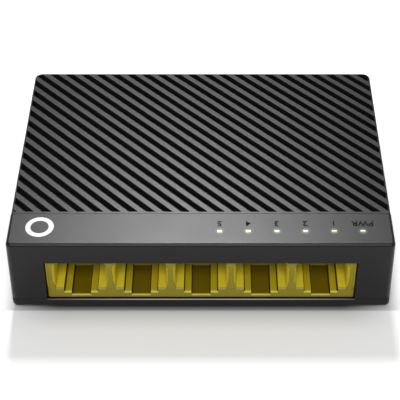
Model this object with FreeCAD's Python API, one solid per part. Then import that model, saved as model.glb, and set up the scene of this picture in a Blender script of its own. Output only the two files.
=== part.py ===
"""Desktop network switch with five RJ45 sockets, modelled in millimetres.

X runs across the case, the sockets face -Y, Z is up, and the origin is under the middle of the case
on the plane that its feet stand on.
"""

import FreeCAD
import Part

import math
import os

Vec = FreeCAD.Vector
X_AXIS = Vec(1, 0, 0)
Y_AXIS = Vec(0, 1, 0)
Z_AXIS = Vec(0, 0, 1)

# the case, outside
CASE_W = 90.5
CASE_D = 66.9
CASE_H = 21.8
DRAFT = 0.25
FRONT_CORNER_R = 1.2
BACK_CORNER_R = 1.9
FRONT_EDGE_R = 0.75
WALL = 1.8
FOOT_H = 1.5
TRAY_RIM_Z = 3.8
COVER_BOTTOM_Z = 4.1
CEILING_Z = 19.3
INNER_CORNER_R = 0.8
FAR = 60.0

# the ribbed field on top
FIELD_FRONT_Y = -22.6
FIELD_FRONT_RIM = 0.9
FIELD_DROP = 0.15
FIELD_INSET = 0.15
FIELD_EDGE_R = 0.35
FIELD_RIM = 0.5
PARTING_W = 0.25
PARTING_DEPTH = 0.4
RIB_PITCH = 2.955
RIB_ANGLE = 46.0
RIB_PHASE = 0.02
GROOVE_TOP_W = 1.38
GROOVE_FLOOR_W = 1.06
GROOVE_DEPTH = 1.2
RIB_CHAMFER = 0.12

# the bottom tray
FLOOR_T = 1.5
TONGUE_T = 0.9
TONGUE_FOOT_Z = 2.5
TONGUE_TOP_Z = 5.3
TONGUE_CORNER_R = 0.7
FIT_GAP = 0.15
TRAY_EDGE_R = 0.8
RIM_T = 2.6
SILL_INSET = 0.6
SILL_T = 2.2
BATTEN_Y = (-2.0, 15.0)
BATTEN_HALF_L = 26.0
BATTEN_HALF_T = 0.6
VENT_ROWS_Y = (-9.0, 8.0)
VENT_COUNT = 11
VENT_PITCH = 3.6
VENT_W = 1.5
VENT_L = 9.5

# the window and the socket block
WINDOW_HALF_W = 36.75
WINDOW_TOP_Z = 15.9
PORT_COUNT = 5
PORT_PITCH = 14.29
JACK_HALF_W = 36.55
JACK_FRONT_Y = -32.7
JACK_DEPTH = 16.0
JACK_BOTTOM_Z = 4.0
JACK_TOP_Z = 17.3
JACK_NOSE_TOP_Z = 15.3
JACK_SHOULDER_Y = -30.95
JACK_CORNER_R = 0.7
CAVITY_W = 12.0
CAVITY_FLOOR_Z = 6.8
CAVITY_TOP_Z = 13.7
CAVITY_DEPTH = 13.0
MID_STEP_W = 8.15
MID_STEP_Z = 5.6
NOTCH_W = 4.6
NOTCH_FLOOR_Z = 4.7
NOTCH_DEPTH = 9.5
NOTCH_CHAMFER = 0.3
STEP_CHAMFER = 0.4
DIVIDER_FACE_W = 1.2
DIVIDER_CHAMFER_L = 1.8
CHAMFER_LOW_Z = 9.3
CHAMFER_HIGH_Z = 13.3
VISOR_Y = -30.5
VISOR_DROP = 0.5
PEG_Y = -18.7
PEG_R = 1.55
PEG_BOTTOM_Z = 3.9
CONTACTS = 8
CONTACT_PITCH = 1.02
WIRE = 0.4
SLOT_W = 0.62
SLOT_FRONT_Y = -30.1
SLOT_BACK_Y = -20.4
SLOT_BOTTOM_Z = 12.0
SLOT_TOP_Z = 16.0
CHANNEL_BOTTOM_Z = 15.3
LEAD_TOP_Z = 15.9
FRONT_TAIL_Y = -19.9
REAR_TAIL_Y = -17.6
TAIL_BOTTOM_Z = 3.3
TAIL_HOLE_R = 0.4

# the sprung contacts: fold in front, leaf sloping back and down
FOLD_Y = -29.25
FOLD_Z = 15.25
FOLD_R = 0.45
FOLD_GAP = 0.06
SPRING_SLOPE = 22.0
SPRING_L = 8.6

# the circuit board
BOARD_T = 1.2
BOARD_Z = 4.6
BOARD_HALF_W = 41.5
BOARD_FRONT_Y = -22.2
BOARD_BACK_Y = 24.5
BOARD_CORNER_R = 1.5
BOARD_PLAY = 0.1
SEAT_GAP = 0.02

# the status windows
LED_COUNT = 6
LED_FIRST_X = 37.75
LED_PITCH = 6.67
LED_WINDOW_Y = -28.6
LED_WINDOW_W = 1.15
LED_WINDOW_D = 0.75
LED_BOARD_Y = -14.4
LED_L = 1.2
LED_W = 1.25
LED_H = 0.75
LED_END_H = 0.4
GUIDE_TOP_Z = 18.9
GUIDE_BOTTOM_Z = 17.4
GUIDE_LEG_Z = 6.95
GUIDE_LEG_W = 1.6
GUIDE_BAR_W = 1.2
GUIDE_TIE_W = 1.4
GUIDE_SINK = 0.03
TIP_GAP = 0.06

# the power inlet
INLET_Y = 12.0
INLET_AXIS_H = 6.5
INLET_W = 9.0
INLET_H = 11.0
INLET_L = 14.0
INLET_BORE_R = 3.15
INLET_PIN_R = 1.05
INLET_RIVET_R = 0.8
INLET_HOLE_R = 4.1
INLET_BACK_X = 28.7
INLET_BORE_DEPTH = 9.5
SLEEVE_PIVOT_Z = 8.2
SLEEVE_CONTACT_Z = 9.7
SLEEVE_TAIL_X = 4.4
SLEEVE_L = 5.6
SLEEVE_NOSE = 1.0
SLEEVE_T = 0.25
INLET_TAIL_T = 0.5
INLET_TAIL_W = 2.4

# what stands on the board
TRANSFORMER_Y = -4.2
CHIP_AT = (-6.0, 13.8)
CRYSTAL_AT = (-24.0, 15.0)
REGULATOR_AT = (14.0, 20.0)
INDUCTOR_AT = (14.0, 12.0)
INPUT_CAPACITOR_AT = (22.5, 19.5)
OUTPUT_CAPACITOR_AT = (-36.5, 8.5)
INPUT_CAPACITOR_SIZE = (4.0, 11.5)
OUTPUT_CAPACITOR_SIZE = (3.15, 7.7)
LEAD_T = 0.2
PIN_MARK_R = 0.4
CHIP_L = 1.6
CHIP_W = 0.8
CHIP_CAPACITOR_H = 0.8
CHIP_RESISTOR_H = 0.45

# fasteners and feet
CASE_SCREWS = [(-40.7, -26.6), (40.7, -26.6), (-39.6, 28.4), (39.6, 28.4)]
BOSS_R = 2.1
BOSS_BOTTOM_Z = 4.75
PILOT_R = 1.28
PILOT_TOP_Z = 15.0
WEB_HALF_T = 0.6
WEB_BOTTOM_Z = 5.6
WELL_R = 2.6
WELL_WALL_R = 3.1
WELL_TOP_Z = 3.3
CLEARANCE_R = 1.45
CASE_SCREW = {"head_r": 2.35, "head_h": 1.5, "shank_r": 1.25, "length": 9.0}
BOARD_POSTS = [(-38.0, -8.0), (38.0, -8.0), (-38.0, 21.0), (38.0, 21.0)]
SCREWED_POSTS = [BOARD_POSTS[0], BOARD_POSTS[3]]
POST_R = 2.6
POST_PIN_R = 1.2
POST_PIN_H = 0.8
POST_HOLE_R = 1.35
POST_PILOT_R = 1.02
POST_PILOT_BOTTOM_Z = 2.2
BOARD_SCREW = {"head_r": 2.0, "head_h": 1.2, "shank_r": 1.0, "length": 3.4}
SCREW_TIP_L = 1.2
SCREW_TIP_R = 0.3
CROSS_W = 0.5
FEET = [(-30.5, -25.0), (30.5, -25.0), (-30.5, 25.0), (30.5, 25.0)]
FOOT_R = 4.0
FOOT_RECESS = 0.3
FOOT_EDGE_R = 0.5
FOOT_PLAY = 0.15

BOARD_TOP_Z = BOARD_Z + BOARD_T
HALF_W = CASE_W / 2
HALF_D = CASE_D / 2
JACK_BACK_Y = JACK_FRONT_Y + JACK_DEPTH
RIB_TOP_Z = CASE_H - FIELD_DROP
FLOOR_TOP_Z = FOOT_H + FLOOR_T
INLET_AXIS_Z = BOARD_TOP_Z + INLET_AXIS_H
PORT_X = [PORT_PITCH * ((PORT_COUNT - 1) / 2 - i) for i in range(PORT_COUNT)]
LED_X = [LED_FIRST_X - LED_PITCH * i for i in range(LED_COUNT)]


def box(x0, x1, y0, y1, z0, z1):
    """A block between two corners."""
    return Part.makeBox(x1 - x0, y1 - y0, z1 - z0, Vec(x0, y0, z0))


def centred(cx, cy, w, d, z0, z1):
    """A block centred on a point of the plan."""
    return box(cx - w / 2, cx + w / 2, cy - d / 2, cy + d / 2, z0, z1)


def rod(cx, cy, r, z0, z1):
    """An upright cylinder."""
    return Part.makeCylinder(r, z1 - z0, Vec(cx, cy, z0), Z_AXIS)


def rod_x(y, z, r, x0, x1):
    """A cylinder along X."""
    return Part.makeCylinder(r, x1 - x0, Vec(x0, y, z), X_AXIS)


def prism_x(points, x0, x1):
    """A profile of (y, z) points, extruded along X."""
    corners = [Vec(x0, y, z) for y, z in points]
    face = Part.Face(Part.makePolygon(corners + corners[:1]))
    return face.extrude(Vec(x1 - x0, 0, 0))


def prism_z(points, z0, z1):
    """An outline of (x, y) points, extruded upwards."""
    corners = [Vec(x, y, z0) for x, y in points]
    face = Part.Face(Part.makePolygon(corners + corners[:1]))
    return face.extrude(Vec(0, 0, z1 - z0))


def fused(shapes):
    """One solid from several that touch."""
    return shapes[0].multiFuse(shapes[1:]).removeSplitter()


def fillet(shape, radius, wanted):
    """Rounds the edges whose bounding box passes the test."""
    edges = [e for e in shape.Edges if wanted(e.BoundBox)]
    return shape.makeFillet(radius, edges)


def outline(half_w, half_d, z, front_r, back_r):
    """A rectangle in plan with rounded corners, as a wire at height z."""
    corners = [
        (half_w, -half_d, front_r, -90),
        (half_w, half_d, back_r, 0),
        (-half_w, half_d, back_r, 90),
        (-half_w, -half_d, front_r, 180),
    ]
    edges = []
    arcs = []
    for x, y, r, start in corners:
        cx = x - math.copysign(r, x)
        cy = y - math.copysign(r, y)
        angles = [math.radians(start + turn) for turn in (0, 45, 90)]
        arcs.append([Vec(cx + r * math.cos(a), cy + r * math.sin(a), z) for a in angles])
    for i, points in enumerate(arcs):
        edges.append(Part.Arc(*points).toShape())
        following = arcs[(i + 1) % len(arcs)]
        edges.append(Part.LineSegment(points[2], following[0]).toShape())
    return Part.Wire(edges)


def drafted_block(half_w, half_d, z0, z1, draft, front_r, back_r):
    """A block with rounded corners whose sides lean in by the draft over its height."""
    low = outline(half_w, half_d, z0, front_r, back_r)
    high = outline(half_w - draft, half_d - draft * 0.8, z1, front_r, back_r)
    return Part.makeLoft([low, high], True, True)


def straight_block(half_w, half_d, z0, z1, front_r, back_r):
    """A block with rounded corners and upright sides."""
    face = Part.Face(outline(half_w, half_d, z0, front_r, back_r))
    return face.extrude(Vec(0, 0, z1 - z0))


def cover_outside():
    """The cover as a solid: the drafted body behind, the proud band in front."""
    z0 = COVER_BOTTOM_Z
    body = drafted_block(
        HALF_W - FIELD_INSET, HALF_D, z0, RIB_TOP_Z, DRAFT, FRONT_CORNER_R, BACK_CORNER_R
    )
    body = fillet(body, FIELD_EDGE_R, lambda b: b.ZMin > RIB_TOP_Z - 0.01)
    front = drafted_block(HALF_W, HALF_D, z0, CASE_H, DRAFT, FRONT_CORNER_R, FRONT_CORNER_R)
    front = front.common(box(-FAR, FAR, -FAR, FIELD_FRONT_Y, 0, FAR))
    front = fillet(
        front, FRONT_EDGE_R, lambda b: b.ZMin > CASE_H - 0.01 and b.YMin < FIELD_FRONT_Y - 0.01
    )
    return fused([body, front])


def groove_field():
    """The diagonal grooves, cut to the field inside its thin rim."""
    reach = 75.0
    lift = 0.3
    half_top = GROOVE_TOP_W / 2
    half_floor = GROOVE_FLOOR_W / 2
    flare = half_top + RIB_CHAMFER
    profile = [
        (-flare - lift, lift),
        (-half_top, -RIB_CHAMFER),
        (-half_floor, -GROOVE_DEPTH),
        (half_floor, -GROOVE_DEPTH),
        (half_top, -RIB_CHAMFER),
        (flare + lift, lift),
    ]
    count = int(reach / RIB_PITCH)
    grooves = []
    for i in range(-count, count + 1):
        groove = prism_x(profile, -reach, reach)
        groove.translate(Vec(0, i * RIB_PITCH + RIB_PHASE, RIB_TOP_Z))
        groove.rotate(Vec(0, 0, 0), Z_AXIS, -RIB_ANGLE)
        grooves.append(groove)
    inside = straight_block(
        HALF_W - FIELD_INSET - DRAFT - FIELD_RIM,
        HALF_D - DRAFT * 0.8 - FIELD_RIM,
        RIB_TOP_Z - GROOVE_DEPTH - 1,
        CASE_H + 1,
        FRONT_CORNER_R,
        BACK_CORNER_R - FIELD_RIM,
    )
    inside = inside.common(box(-FAR, FAR, FIELD_FRONT_Y + FIELD_FRONT_RIM, FAR, 0, FAR))
    return Part.makeCompound(grooves).common(inside)


def top_cover():
    """The cover: ribbed top, smooth band, walls, socket window, inlet hole and screw bosses."""
    cover = cover_outside()
    inner = straight_block(
        HALF_W - WALL, HALF_D - WALL, 0, CEILING_Z, INNER_CORNER_R, INNER_CORNER_R
    )
    cover = cover.cut(inner)
    bite = 0.3
    root_z = CEILING_Z + bite
    bosses = [rod(x, y, BOSS_R, BOSS_BOTTOM_Z, root_z) for x, y in CASE_SCREWS]
    webs = []
    for x, y in CASE_SCREWS:
        wall_x = math.copysign(HALF_W - WALL + bite, x)
        low, high = sorted((x, wall_x))
        webs.append(box(low, high, y - WEB_HALF_T, y + WEB_HALF_T, WEB_BOTTOM_Z, root_z))
    cover = fused([cover] + bosses + webs)
    cuts = [rod(x, y, PILOT_R, 0, PILOT_TOP_Z) for x, y in CASE_SCREWS]
    window_back = -HALF_D + WALL + INNER_CORNER_R
    cuts.append(box(-WINDOW_HALF_W, WINDOW_HALF_W, -FAR, window_back, 0, WINDOW_TOP_Z))
    cuts.append(rod_x(INLET_Y, INLET_AXIS_Z, INLET_HOLE_R, HALF_W - 2 * WALL, FAR))
    for x in LED_X:
        w = LED_WINDOW_W + 2 * TIP_GAP
        d = LED_WINDOW_D + 2 * TIP_GAP
        cuts.append(centred(x, LED_WINDOW_Y, w, d, CEILING_Z - 1, CASE_H + 1))
    parting_back = FIELD_FRONT_Y + PARTING_W
    cuts.append(box(-FAR, FAR, FIELD_FRONT_Y, parting_back, RIB_TOP_Z - PARTING_DEPTH, FAR))
    cuts.append(groove_field())
    return cover.cut(Part.makeCompound(cuts))


def tray_tongue():
    """The upright lip inside the cover's walls, open in front where the socket block stands."""
    outer_w = HALF_W - WALL - FIT_GAP
    outer_d = HALF_D - WALL - FIT_GAP
    r = TONGUE_CORNER_R
    outer = straight_block(outer_w, outer_d, TONGUE_FOOT_Z, TONGUE_TOP_Z, r, r)
    inner = straight_block(
        outer_w - TONGUE_T, outer_d - TONGUE_T, TONGUE_FOOT_Z - 1, TONGUE_TOP_Z + 1, r / 2, r / 2
    )
    gap_w = WINDOW_HALF_W + 0.4
    gap = box(-gap_w, gap_w, -FAR, 0, TONGUE_FOOT_Z + FIT_GAP, FAR)
    return outer.cut(inner).cut(gap)


def vent_slots():
    """Two rows of narrow slots in the floor."""
    slots = []
    for row_y in VENT_ROWS_Y:
        for i in range(VENT_COUNT):
            x = (i - (VENT_COUNT - 1) / 2) * VENT_PITCH
            slot = centred(x, row_y, VENT_W, VENT_L, 0, TRAY_RIM_Z)
            ends = [rod(x, row_y + s * VENT_L / 2, VENT_W / 2, 0, TRAY_RIM_Z) for s in (-1, 1)]
            slots.append(fused([slot] + ends))
    return slots


def bottom_tray():
    """The floor with its rim, tongue, board posts, screw wells, foot seats and vents."""
    bite = 0.5
    plate = straight_block(HALF_W, HALF_D, FOOT_H, TRAY_RIM_Z, FRONT_CORNER_R, BACK_CORNER_R)
    plate = fillet(plate, TRAY_EDGE_R, lambda b: b.ZMax < FOOT_H + 0.01)
    r = TONGUE_CORNER_R
    plate = plate.cut(straight_block(HALF_W - RIM_T, HALF_D - RIM_T, FLOOR_TOP_Z, FAR, r, r))
    sill_y = -HALF_D + SILL_INSET
    sill = box(-WINDOW_HALF_W, WINDOW_HALF_W, sill_y, sill_y + SILL_T, FLOOR_TOP_Z - bite, TRAY_RIM_Z)
    parts = [plate, tray_tongue(), sill]
    well_bottom = FOOT_H + 0.1
    well_top = BOSS_BOTTOM_Z - 0.05
    inside_w = HALF_W - WALL - FIT_GAP
    inside_d = HALF_D - WALL - FIT_GAP
    inside_cover = straight_block(inside_w, inside_d, well_bottom, FAR, r, r)
    for x, y in CASE_SCREWS:
        parts.append(rod(x, y, WELL_WALL_R, well_bottom, well_top).common(inside_cover))
    for x, y in BOARD_POSTS:
        parts.append(rod(x, y, POST_R, FLOOR_TOP_Z - bite, BOARD_Z))
        if (x, y) not in SCREWED_POSTS:
            parts.append(rod(x, y, POST_PIN_R, BOARD_Z - bite, BOARD_TOP_Z + POST_PIN_H))
    for y in BATTEN_Y:
        low, high = y - BATTEN_HALF_T, y + BATTEN_HALF_T
        parts.append(box(-BATTEN_HALF_L, BATTEN_HALF_L, low, high, FLOOR_TOP_Z - bite, FLOOR_TOP_Z + bite))
    tray = fused(parts)
    cuts = []
    for x, y in CASE_SCREWS:
        cuts.append(rod(x, y, CLEARANCE_R, 0, FAR))
        cuts.append(rod(x, y, WELL_R, 0, WELL_TOP_Z))
        cuts.append(rod(x, y, BOSS_R + FIT_GAP, well_top, FAR))
    for x, y in SCREWED_POSTS:
        cuts.append(rod(x, y, POST_PILOT_R, POST_PILOT_BOTTOM_Z, FAR))
    for x, y in FEET:
        cuts.append(rod(x, y, FOOT_R + FOOT_PLAY, 0, FOOT_H + FOOT_RECESS))
    cuts.extend(vent_slots())
    return tray.cut(Part.makeCompound(cuts))


def rubber_foot(x, y):
    """A round foot with a soft lower edge, stuck in its shallow seat."""
    foot = rod(x, y, FOOT_R, 0, FOOT_H + FOOT_RECESS - SEAT_GAP)
    return fillet(foot, FOOT_EDGE_R, lambda b: b.ZMax < 0.01)


def pan_screw(x, y, head_z, head_r, head_h, shank_r, length, point_up):
    """A pan-head screw with a cross slot; the shank runs up or down from under the head."""
    turn = 1 if point_up else -1
    head = Part.makeCylinder(head_r, head_h, Vec(x, y, head_z), Vec(0, 0, -turn))
    rim = [e for e in head.Edges if abs(e.BoundBox.ZMin - (head_z - turn * head_h)) < 0.01]
    rim = [e for e in rim if e.BoundBox.ZLength < 0.01]
    head = head.makeFillet(head_h * 0.4, rim)
    bite = 0.1
    shank_l = length - SCREW_TIP_L
    shank = Part.makeCylinder(shank_r, shank_l, Vec(x, y, head_z - turn * bite), Vec(0, 0, turn))
    tip_z = head_z + turn * (shank_l - 1.5 * bite)
    tip = Part.makeCone(shank_r, SCREW_TIP_R, SCREW_TIP_L, Vec(x, y, tip_z), Vec(0, 0, turn))
    screw = fused([head, shank, tip])
    outer_z = head_z - turn * head_h
    low, high = sorted((outer_z, outer_z + turn * head_h * 0.55))
    arm = head_r * 1.1
    cross = fused([centred(x, y, arm, CROSS_W, low, high), centred(x, y, CROSS_W, arm, low, high)])
    return screw.cut(cross)


def case_screws():
    """Four self-tapping screws, up through the tray into the cover's bosses."""
    head_z = WELL_TOP_Z - SEAT_GAP
    return [pan_screw(x, y, head_z, point_up=True, **CASE_SCREW) for x, y in CASE_SCREWS]


def board_screws():
    """Two short screws that hold the board to its posts."""
    head_z = BOARD_TOP_Z + SEAT_GAP
    return [pan_screw(x, y, head_z, point_up=False, **BOARD_SCREW) for x, y in SCREWED_POSTS]


def tail_rows(i):
    """The y of a contact's solder tail: two staggered rows."""
    return FRONT_TAIL_Y if i % 2 else REAR_TAIL_Y


def contact_x(port_x, i):
    """The x of contact i in a socket."""
    return port_x + (i - (CONTACTS - 1) / 2) * CONTACT_PITCH


def circuit_board():
    """The board, with holes for posts, screws, contact tails, pegs and the inlet's tails."""
    board = box(-BOARD_HALF_W, BOARD_HALF_W, BOARD_FRONT_Y, BOARD_BACK_Y, BOARD_Z, BOARD_TOP_Z)
    board = fillet(board, BOARD_CORNER_R, lambda b: b.XLength < 0.01 and b.YLength < 0.01)
    cuts = [rod(x, y, POST_HOLE_R, 0, FAR) for x, y in BOARD_POSTS]
    for port_x in PORT_X:
        for i in range(CONTACTS):
            cuts.append(rod(contact_x(port_x, i), tail_rows(i), TAIL_HOLE_R, 0, FAR))
    for x in (-PORT_PITCH * 1.5, PORT_PITCH * 1.5):
        cuts.append(rod(x, PEG_Y, PEG_R + BOARD_PLAY, 0, FAR))
    cuts.extend(inlet_slots())
    return board.cut(Part.makeCompound(cuts))


def jack_block():
    """The socket block's outside: nose in the window, body behind the wall, rear foot on the board."""
    back = JACK_BACK_Y
    profile = [
        (JACK_FRONT_Y, JACK_BOTTOM_Z),
        (BOARD_FRONT_Y - BOARD_PLAY, JACK_BOTTOM_Z),
        (BOARD_FRONT_Y - BOARD_PLAY, BOARD_TOP_Z + SEAT_GAP),
        (back, BOARD_TOP_Z + SEAT_GAP),
        (back, JACK_TOP_Z),
        (JACK_SHOULDER_Y, JACK_TOP_Z),
        (JACK_SHOULDER_Y, JACK_NOSE_TOP_Z),
        (JACK_FRONT_Y, JACK_NOSE_TOP_Z),
    ]
    block = prism_x(profile, -JACK_HALF_W, JACK_HALF_W)
    return fillet(
        block,
        JACK_CORNER_R,
        lambda b: b.XLength < 0.01 and b.ZLength < 0.01 and b.ZMax < JACK_BOTTOM_Z + 0.01,
    )


def divider_chamfer(x, side):
    """The lead-in down one side of a socket's mouth, which dies out at the divider's foot and head."""
    wall = x + side * CAVITY_W / 2
    face = x + side * (PORT_PITCH - DIVIDER_FACE_W) / 2
    deep = JACK_FRONT_Y + DIVIDER_CHAMFER_L
    corner = [(wall, JACK_FRONT_Y), (face, JACK_FRONT_Y), (wall, deep)]
    cuts = [prism_z(corner, CHAMFER_LOW_Z, CHAMFER_HIGH_Z)]
    for base_z, tip_z in ((CHAMFER_LOW_Z, CAVITY_FLOOR_Z), (CHAMFER_HIGH_Z, JACK_NOSE_TOP_Z)):
        points = [Vec(px, py, base_z) for px, py in corner] + [Vec(wall, JACK_FRONT_Y, tip_z)]
        faces = []
        for a, b, c in ((0, 1, 2), (0, 1, 3), (1, 2, 3), (0, 2, 3)):
            faces.append(Part.Face(Part.makePolygon([points[a], points[b], points[c], points[a]])))
        cuts.append(Part.makeSolid(Part.makeShell(faces)))
    return cuts


def socket_cuts(x):
    """One socket: body cavity, stepped latch notch, flared mouth and contact slots."""
    front = JACK_FRONT_Y - 1
    cavity_back = JACK_FRONT_Y + CAVITY_DEPTH
    notch_back = JACK_FRONT_Y + NOTCH_DEPTH
    half = CAVITY_W / 2
    cuts = [
        box(x - half, x + half, front, cavity_back, CAVITY_FLOOR_Z, CAVITY_TOP_Z),
    ]
    for width, z in ((MID_STEP_W, MID_STEP_Z), (NOTCH_W, NOTCH_FLOOR_Z)):
        cuts.append(box(x - width / 2, x + width / 2, front, notch_back, z, CAVITY_FLOOR_Z + 1))
    steps = (
        (CAVITY_W, CAVITY_FLOOR_Z, STEP_CHAMFER),
        (MID_STEP_W, MID_STEP_Z, STEP_CHAMFER),
        (NOTCH_W, NOTCH_FLOOR_Z, NOTCH_CHAMFER),
    )
    lift = 0.1
    for width, z, chamfer in steps:
        ramp = [
            (front, z + lift),
            (front, z - chamfer - 1),
            (JACK_FRONT_Y, z - chamfer),
            (JACK_FRONT_Y + chamfer, z),
            (JACK_FRONT_Y + chamfer, z + lift),
        ]
        cuts.append(prism_x(ramp, x - width / 2, x + width / 2))
    for side in (-1, 1):
        cuts.extend(divider_chamfer(x, side))
    visor = [
        (front, CAVITY_TOP_Z - VISOR_DROP),
        (VISOR_Y, CAVITY_TOP_Z - VISOR_DROP),
        (VISOR_Y, CAVITY_TOP_Z),
        (JACK_FRONT_Y, JACK_NOSE_TOP_Z + lift),
        (front, JACK_NOSE_TOP_Z + lift),
    ]
    cuts.append(prism_x(visor, x - half, x + half))
    for i in range(CONTACTS):
        left = contact_x(x, i) - SLOT_W / 2
        right = left + SLOT_W
        tail_y = tail_rows(i)
        cuts.append(box(left, right, SLOT_FRONT_Y, SLOT_BACK_Y, SLOT_BOTTOM_Z, SLOT_TOP_Z))
        cuts.append(box(left, right, SLOT_BACK_Y - lift, JACK_BACK_Y + 1, CHANNEL_BOTTOM_Z, SLOT_TOP_Z))
        cuts.append(box(left, right, tail_y - SLOT_W / 2, tail_y + SLOT_W / 2, BOARD_Z, SLOT_TOP_Z))
    return cuts


def jack_housing():
    """The five-gang socket block, latch side down, with two pegs that press into the board."""
    cuts = []
    for x in PORT_X:
        cuts.extend(socket_cuts(x))
    block = jack_block().cut(Part.makeCompound(cuts))
    peg_top = BOARD_TOP_Z + 0.5
    pegs = [rod(x, PEG_Y, PEG_R, PEG_BOTTOM_Z, peg_top) for x in (-PORT_PITCH * 1.5, PORT_PITCH * 1.5)]
    return fused([block] + pegs)


def contact_leads(port_x):
    """Eight fixed wires: solder tail, riser up the rear of the block, run forward over the socket."""
    wires = []
    half = WIRE / 2
    for i in range(CONTACTS):
        x = contact_x(port_x, i)
        back = tail_rows(i) + half
        upright = box(x - half, x + half, back - WIRE, back, TAIL_BOTTOM_Z, LEAD_TOP_Z)
        run = box(x - half, x + half, FOLD_Y + FOLD_GAP, back, LEAD_TOP_Z - WIRE, LEAD_TOP_Z)
        wires.append(fused([upright, run]))
    return wires


def contact_springs(port_x):
    """Eight sprung ends: a fold in front, then a straight leaf that slopes back into the socket."""
    springs = []
    slope = math.radians(SPRING_SLOPE)
    far = 2.0
    beyond_leaf = [
        (FOLD_Y, FOLD_Z),
        (FOLD_Y, FOLD_Z - far),
        (FOLD_Y - far * math.sin(slope), FOLD_Z - far * math.cos(slope)),
    ]
    for i in range(CONTACTS):
        x = contact_x(port_x, i)
        outer = rod_x(FOLD_Y, FOLD_Z, FOLD_R + WIRE / 2, x - WIRE / 2, x + WIRE / 2)
        inner = rod_x(FOLD_Y, FOLD_Z, FOLD_R - WIRE / 2, x - WIRE, x + WIRE)
        half_turn = box(x - WIRE, x + WIRE, FOLD_Y - far, FOLD_Y, FOLD_Z - far, FOLD_Z + far)
        rest_turn = prism_x(beyond_leaf, x - WIRE, x + WIRE)
        ring = outer.cut(inner).common(half_turn).cut(rest_turn)
        leaf = box(
            x - WIRE / 2,
            x + WIRE / 2,
            FOLD_Y,
            FOLD_Y + SPRING_L,
            FOLD_Z - FOLD_R - WIRE / 2,
            FOLD_Z - FOLD_R + WIRE / 2,
        )
        leaf.rotate(Vec(x, FOLD_Y, FOLD_Z), X_AXIS, -SPRING_SLOPE)
        springs.append(fused([ring, leaf]))
    return springs


def light_guide():
    """A clear comb: legs over the lights, runs over the socket block, tips up through the band."""
    top = GUIDE_TOP_Z
    low = GUIDE_BOTTOM_Z
    half = GUIDE_BAR_W / 2
    front = LED_WINDOW_Y - 0.4
    tip_z = CASE_H - GUIDE_SINK
    parts = []
    for x in LED_X:
        parts.append(centred(x, LED_BOARD_Y, GUIDE_LEG_W, GUIDE_LEG_W, GUIDE_LEG_Z, top))
        parts.append(box(x - half, x + half, front, LED_BOARD_Y, low, top))
        parts.append(centred(x, LED_WINDOW_Y, LED_WINDOW_W, LED_WINDOW_D, top - 0.5, tip_z))
    tie_back = LED_BOARD_Y - GUIDE_BAR_W
    parts.append(box(LED_X[-1], LED_X[0], tie_back - GUIDE_TIE_W, tie_back, low, top))
    return fused(parts)


def led(x):
    """A surface-mount light: pale body with a small domed lens and metal ends."""
    body = centred(x, LED_BOARD_Y, LED_L, LED_W, BOARD_TOP_Z, BOARD_TOP_Z + LED_H)
    ends_l = LED_L * 1.7
    ends = centred(x, LED_BOARD_Y, ends_l, LED_W, BOARD_TOP_Z, BOARD_TOP_Z + LED_END_H)
    return fused([body, ends])


def gull_wings(cx, cy, half_body, count, pitch, reach, width, lead_z, along_y):
    """Two rows of bent leads, one each side of a package whose rows run along Y or along X."""
    leads = []
    t = LEAD_T
    for i in range(count):
        offset = (i - (count - 1) / 2) * pitch
        for side in (-1, 1):
            inner = side * (half_body - t)
            bend = side * (half_body + reach * 0.45)
            outer = side * (half_body + reach)
            spans = [
                (inner, bend, BOARD_TOP_Z + lead_z, BOARD_TOP_Z + lead_z + t),
                (bend - side * t, bend, BOARD_TOP_Z, BOARD_TOP_Z + lead_z + t),
                (bend - side * t, outer, BOARD_TOP_Z, BOARD_TOP_Z + t),
            ]
            for a, b, z0, z1 in spans:
                a, b = sorted((a, b))
                low, high = offset - width / 2, offset + width / 2
                if along_y:
                    leads.append(box(cx + a, cx + b, cy + low, cy + high, z0, z1))
                else:
                    leads.append(box(cx + low, cx + high, cy + a, cy + b, z0, z1))
    return leads


def package(cx, cy, w, d, z0, h, edge):
    """A moulded package with bevelled upper edges and a round pin-one mark."""
    body = centred(cx, cy, w, d, BOARD_TOP_Z + z0, BOARD_TOP_Z + z0 + h)
    top = BOARD_TOP_Z + z0 + h
    rim = [e for e in body.Edges if e.BoundBox.ZMin > top - 0.01]
    body = body.makeChamfer(edge, rim)
    inset = 3 * edge + PIN_MARK_R
    mark = rod(cx - w / 2 + inset, cy - d / 2 + inset, PIN_MARK_R, top - 0.1, top + 1)
    return body.cut(mark)


def transformer(x):
    """A potted isolation transformer block with twelve leads a side."""
    body = package(x, TRANSFORMER_Y, 7.1, 15.1, 0.3, 5.4, 0.3)
    return fused([body] + gull_wings(x, TRANSFORMER_Y, 3.55, 12, 1.2, 1.4, 0.5, 1.6, True))


def switch_chip():
    """The switching controller: a flat square package with leads on four sides."""
    x, y = CHIP_AT
    body = package(x, y, 14.0, 14.0, 0.1, 1.4, 0.25)
    leads = gull_wings(x, y, 7.0, 16, 0.8, 1.0, 0.37, 0.6, True)
    leads += gull_wings(x, y, 7.0, 16, 0.8, 1.0, 0.37, 0.6, False)
    return fused([body] + leads)


def crystal():
    """A low metal-can crystal on its flange."""
    x, y = CRYSTAL_AT
    flange = box(x - 5.6, x + 5.6, y - 2.3, y + 2.3, BOARD_TOP_Z, BOARD_TOP_Z + 0.5)
    can = box(x - 5.1, x + 5.1, y - 1.8, y + 1.8, BOARD_TOP_Z + 0.4, BOARD_TOP_Z + 3.6)
    flange = fillet(flange, 2.2, lambda b: b.XLength < 0.01 and b.YLength < 0.01)
    can = fillet(can, 1.7, lambda b: b.XLength < 0.01 and b.YLength < 0.01)
    return fused([flange, can])


def regulator_chip():
    """The supply's switching regulator, eight leads."""
    x, y = REGULATOR_AT
    body = package(x, y, 4.9, 3.9, 0.1, 1.45, 0.2)
    return fused([body] + gull_wings(x, y, 1.95, 4, 1.27, 1.0, 0.42, 0.6, False))


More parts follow.
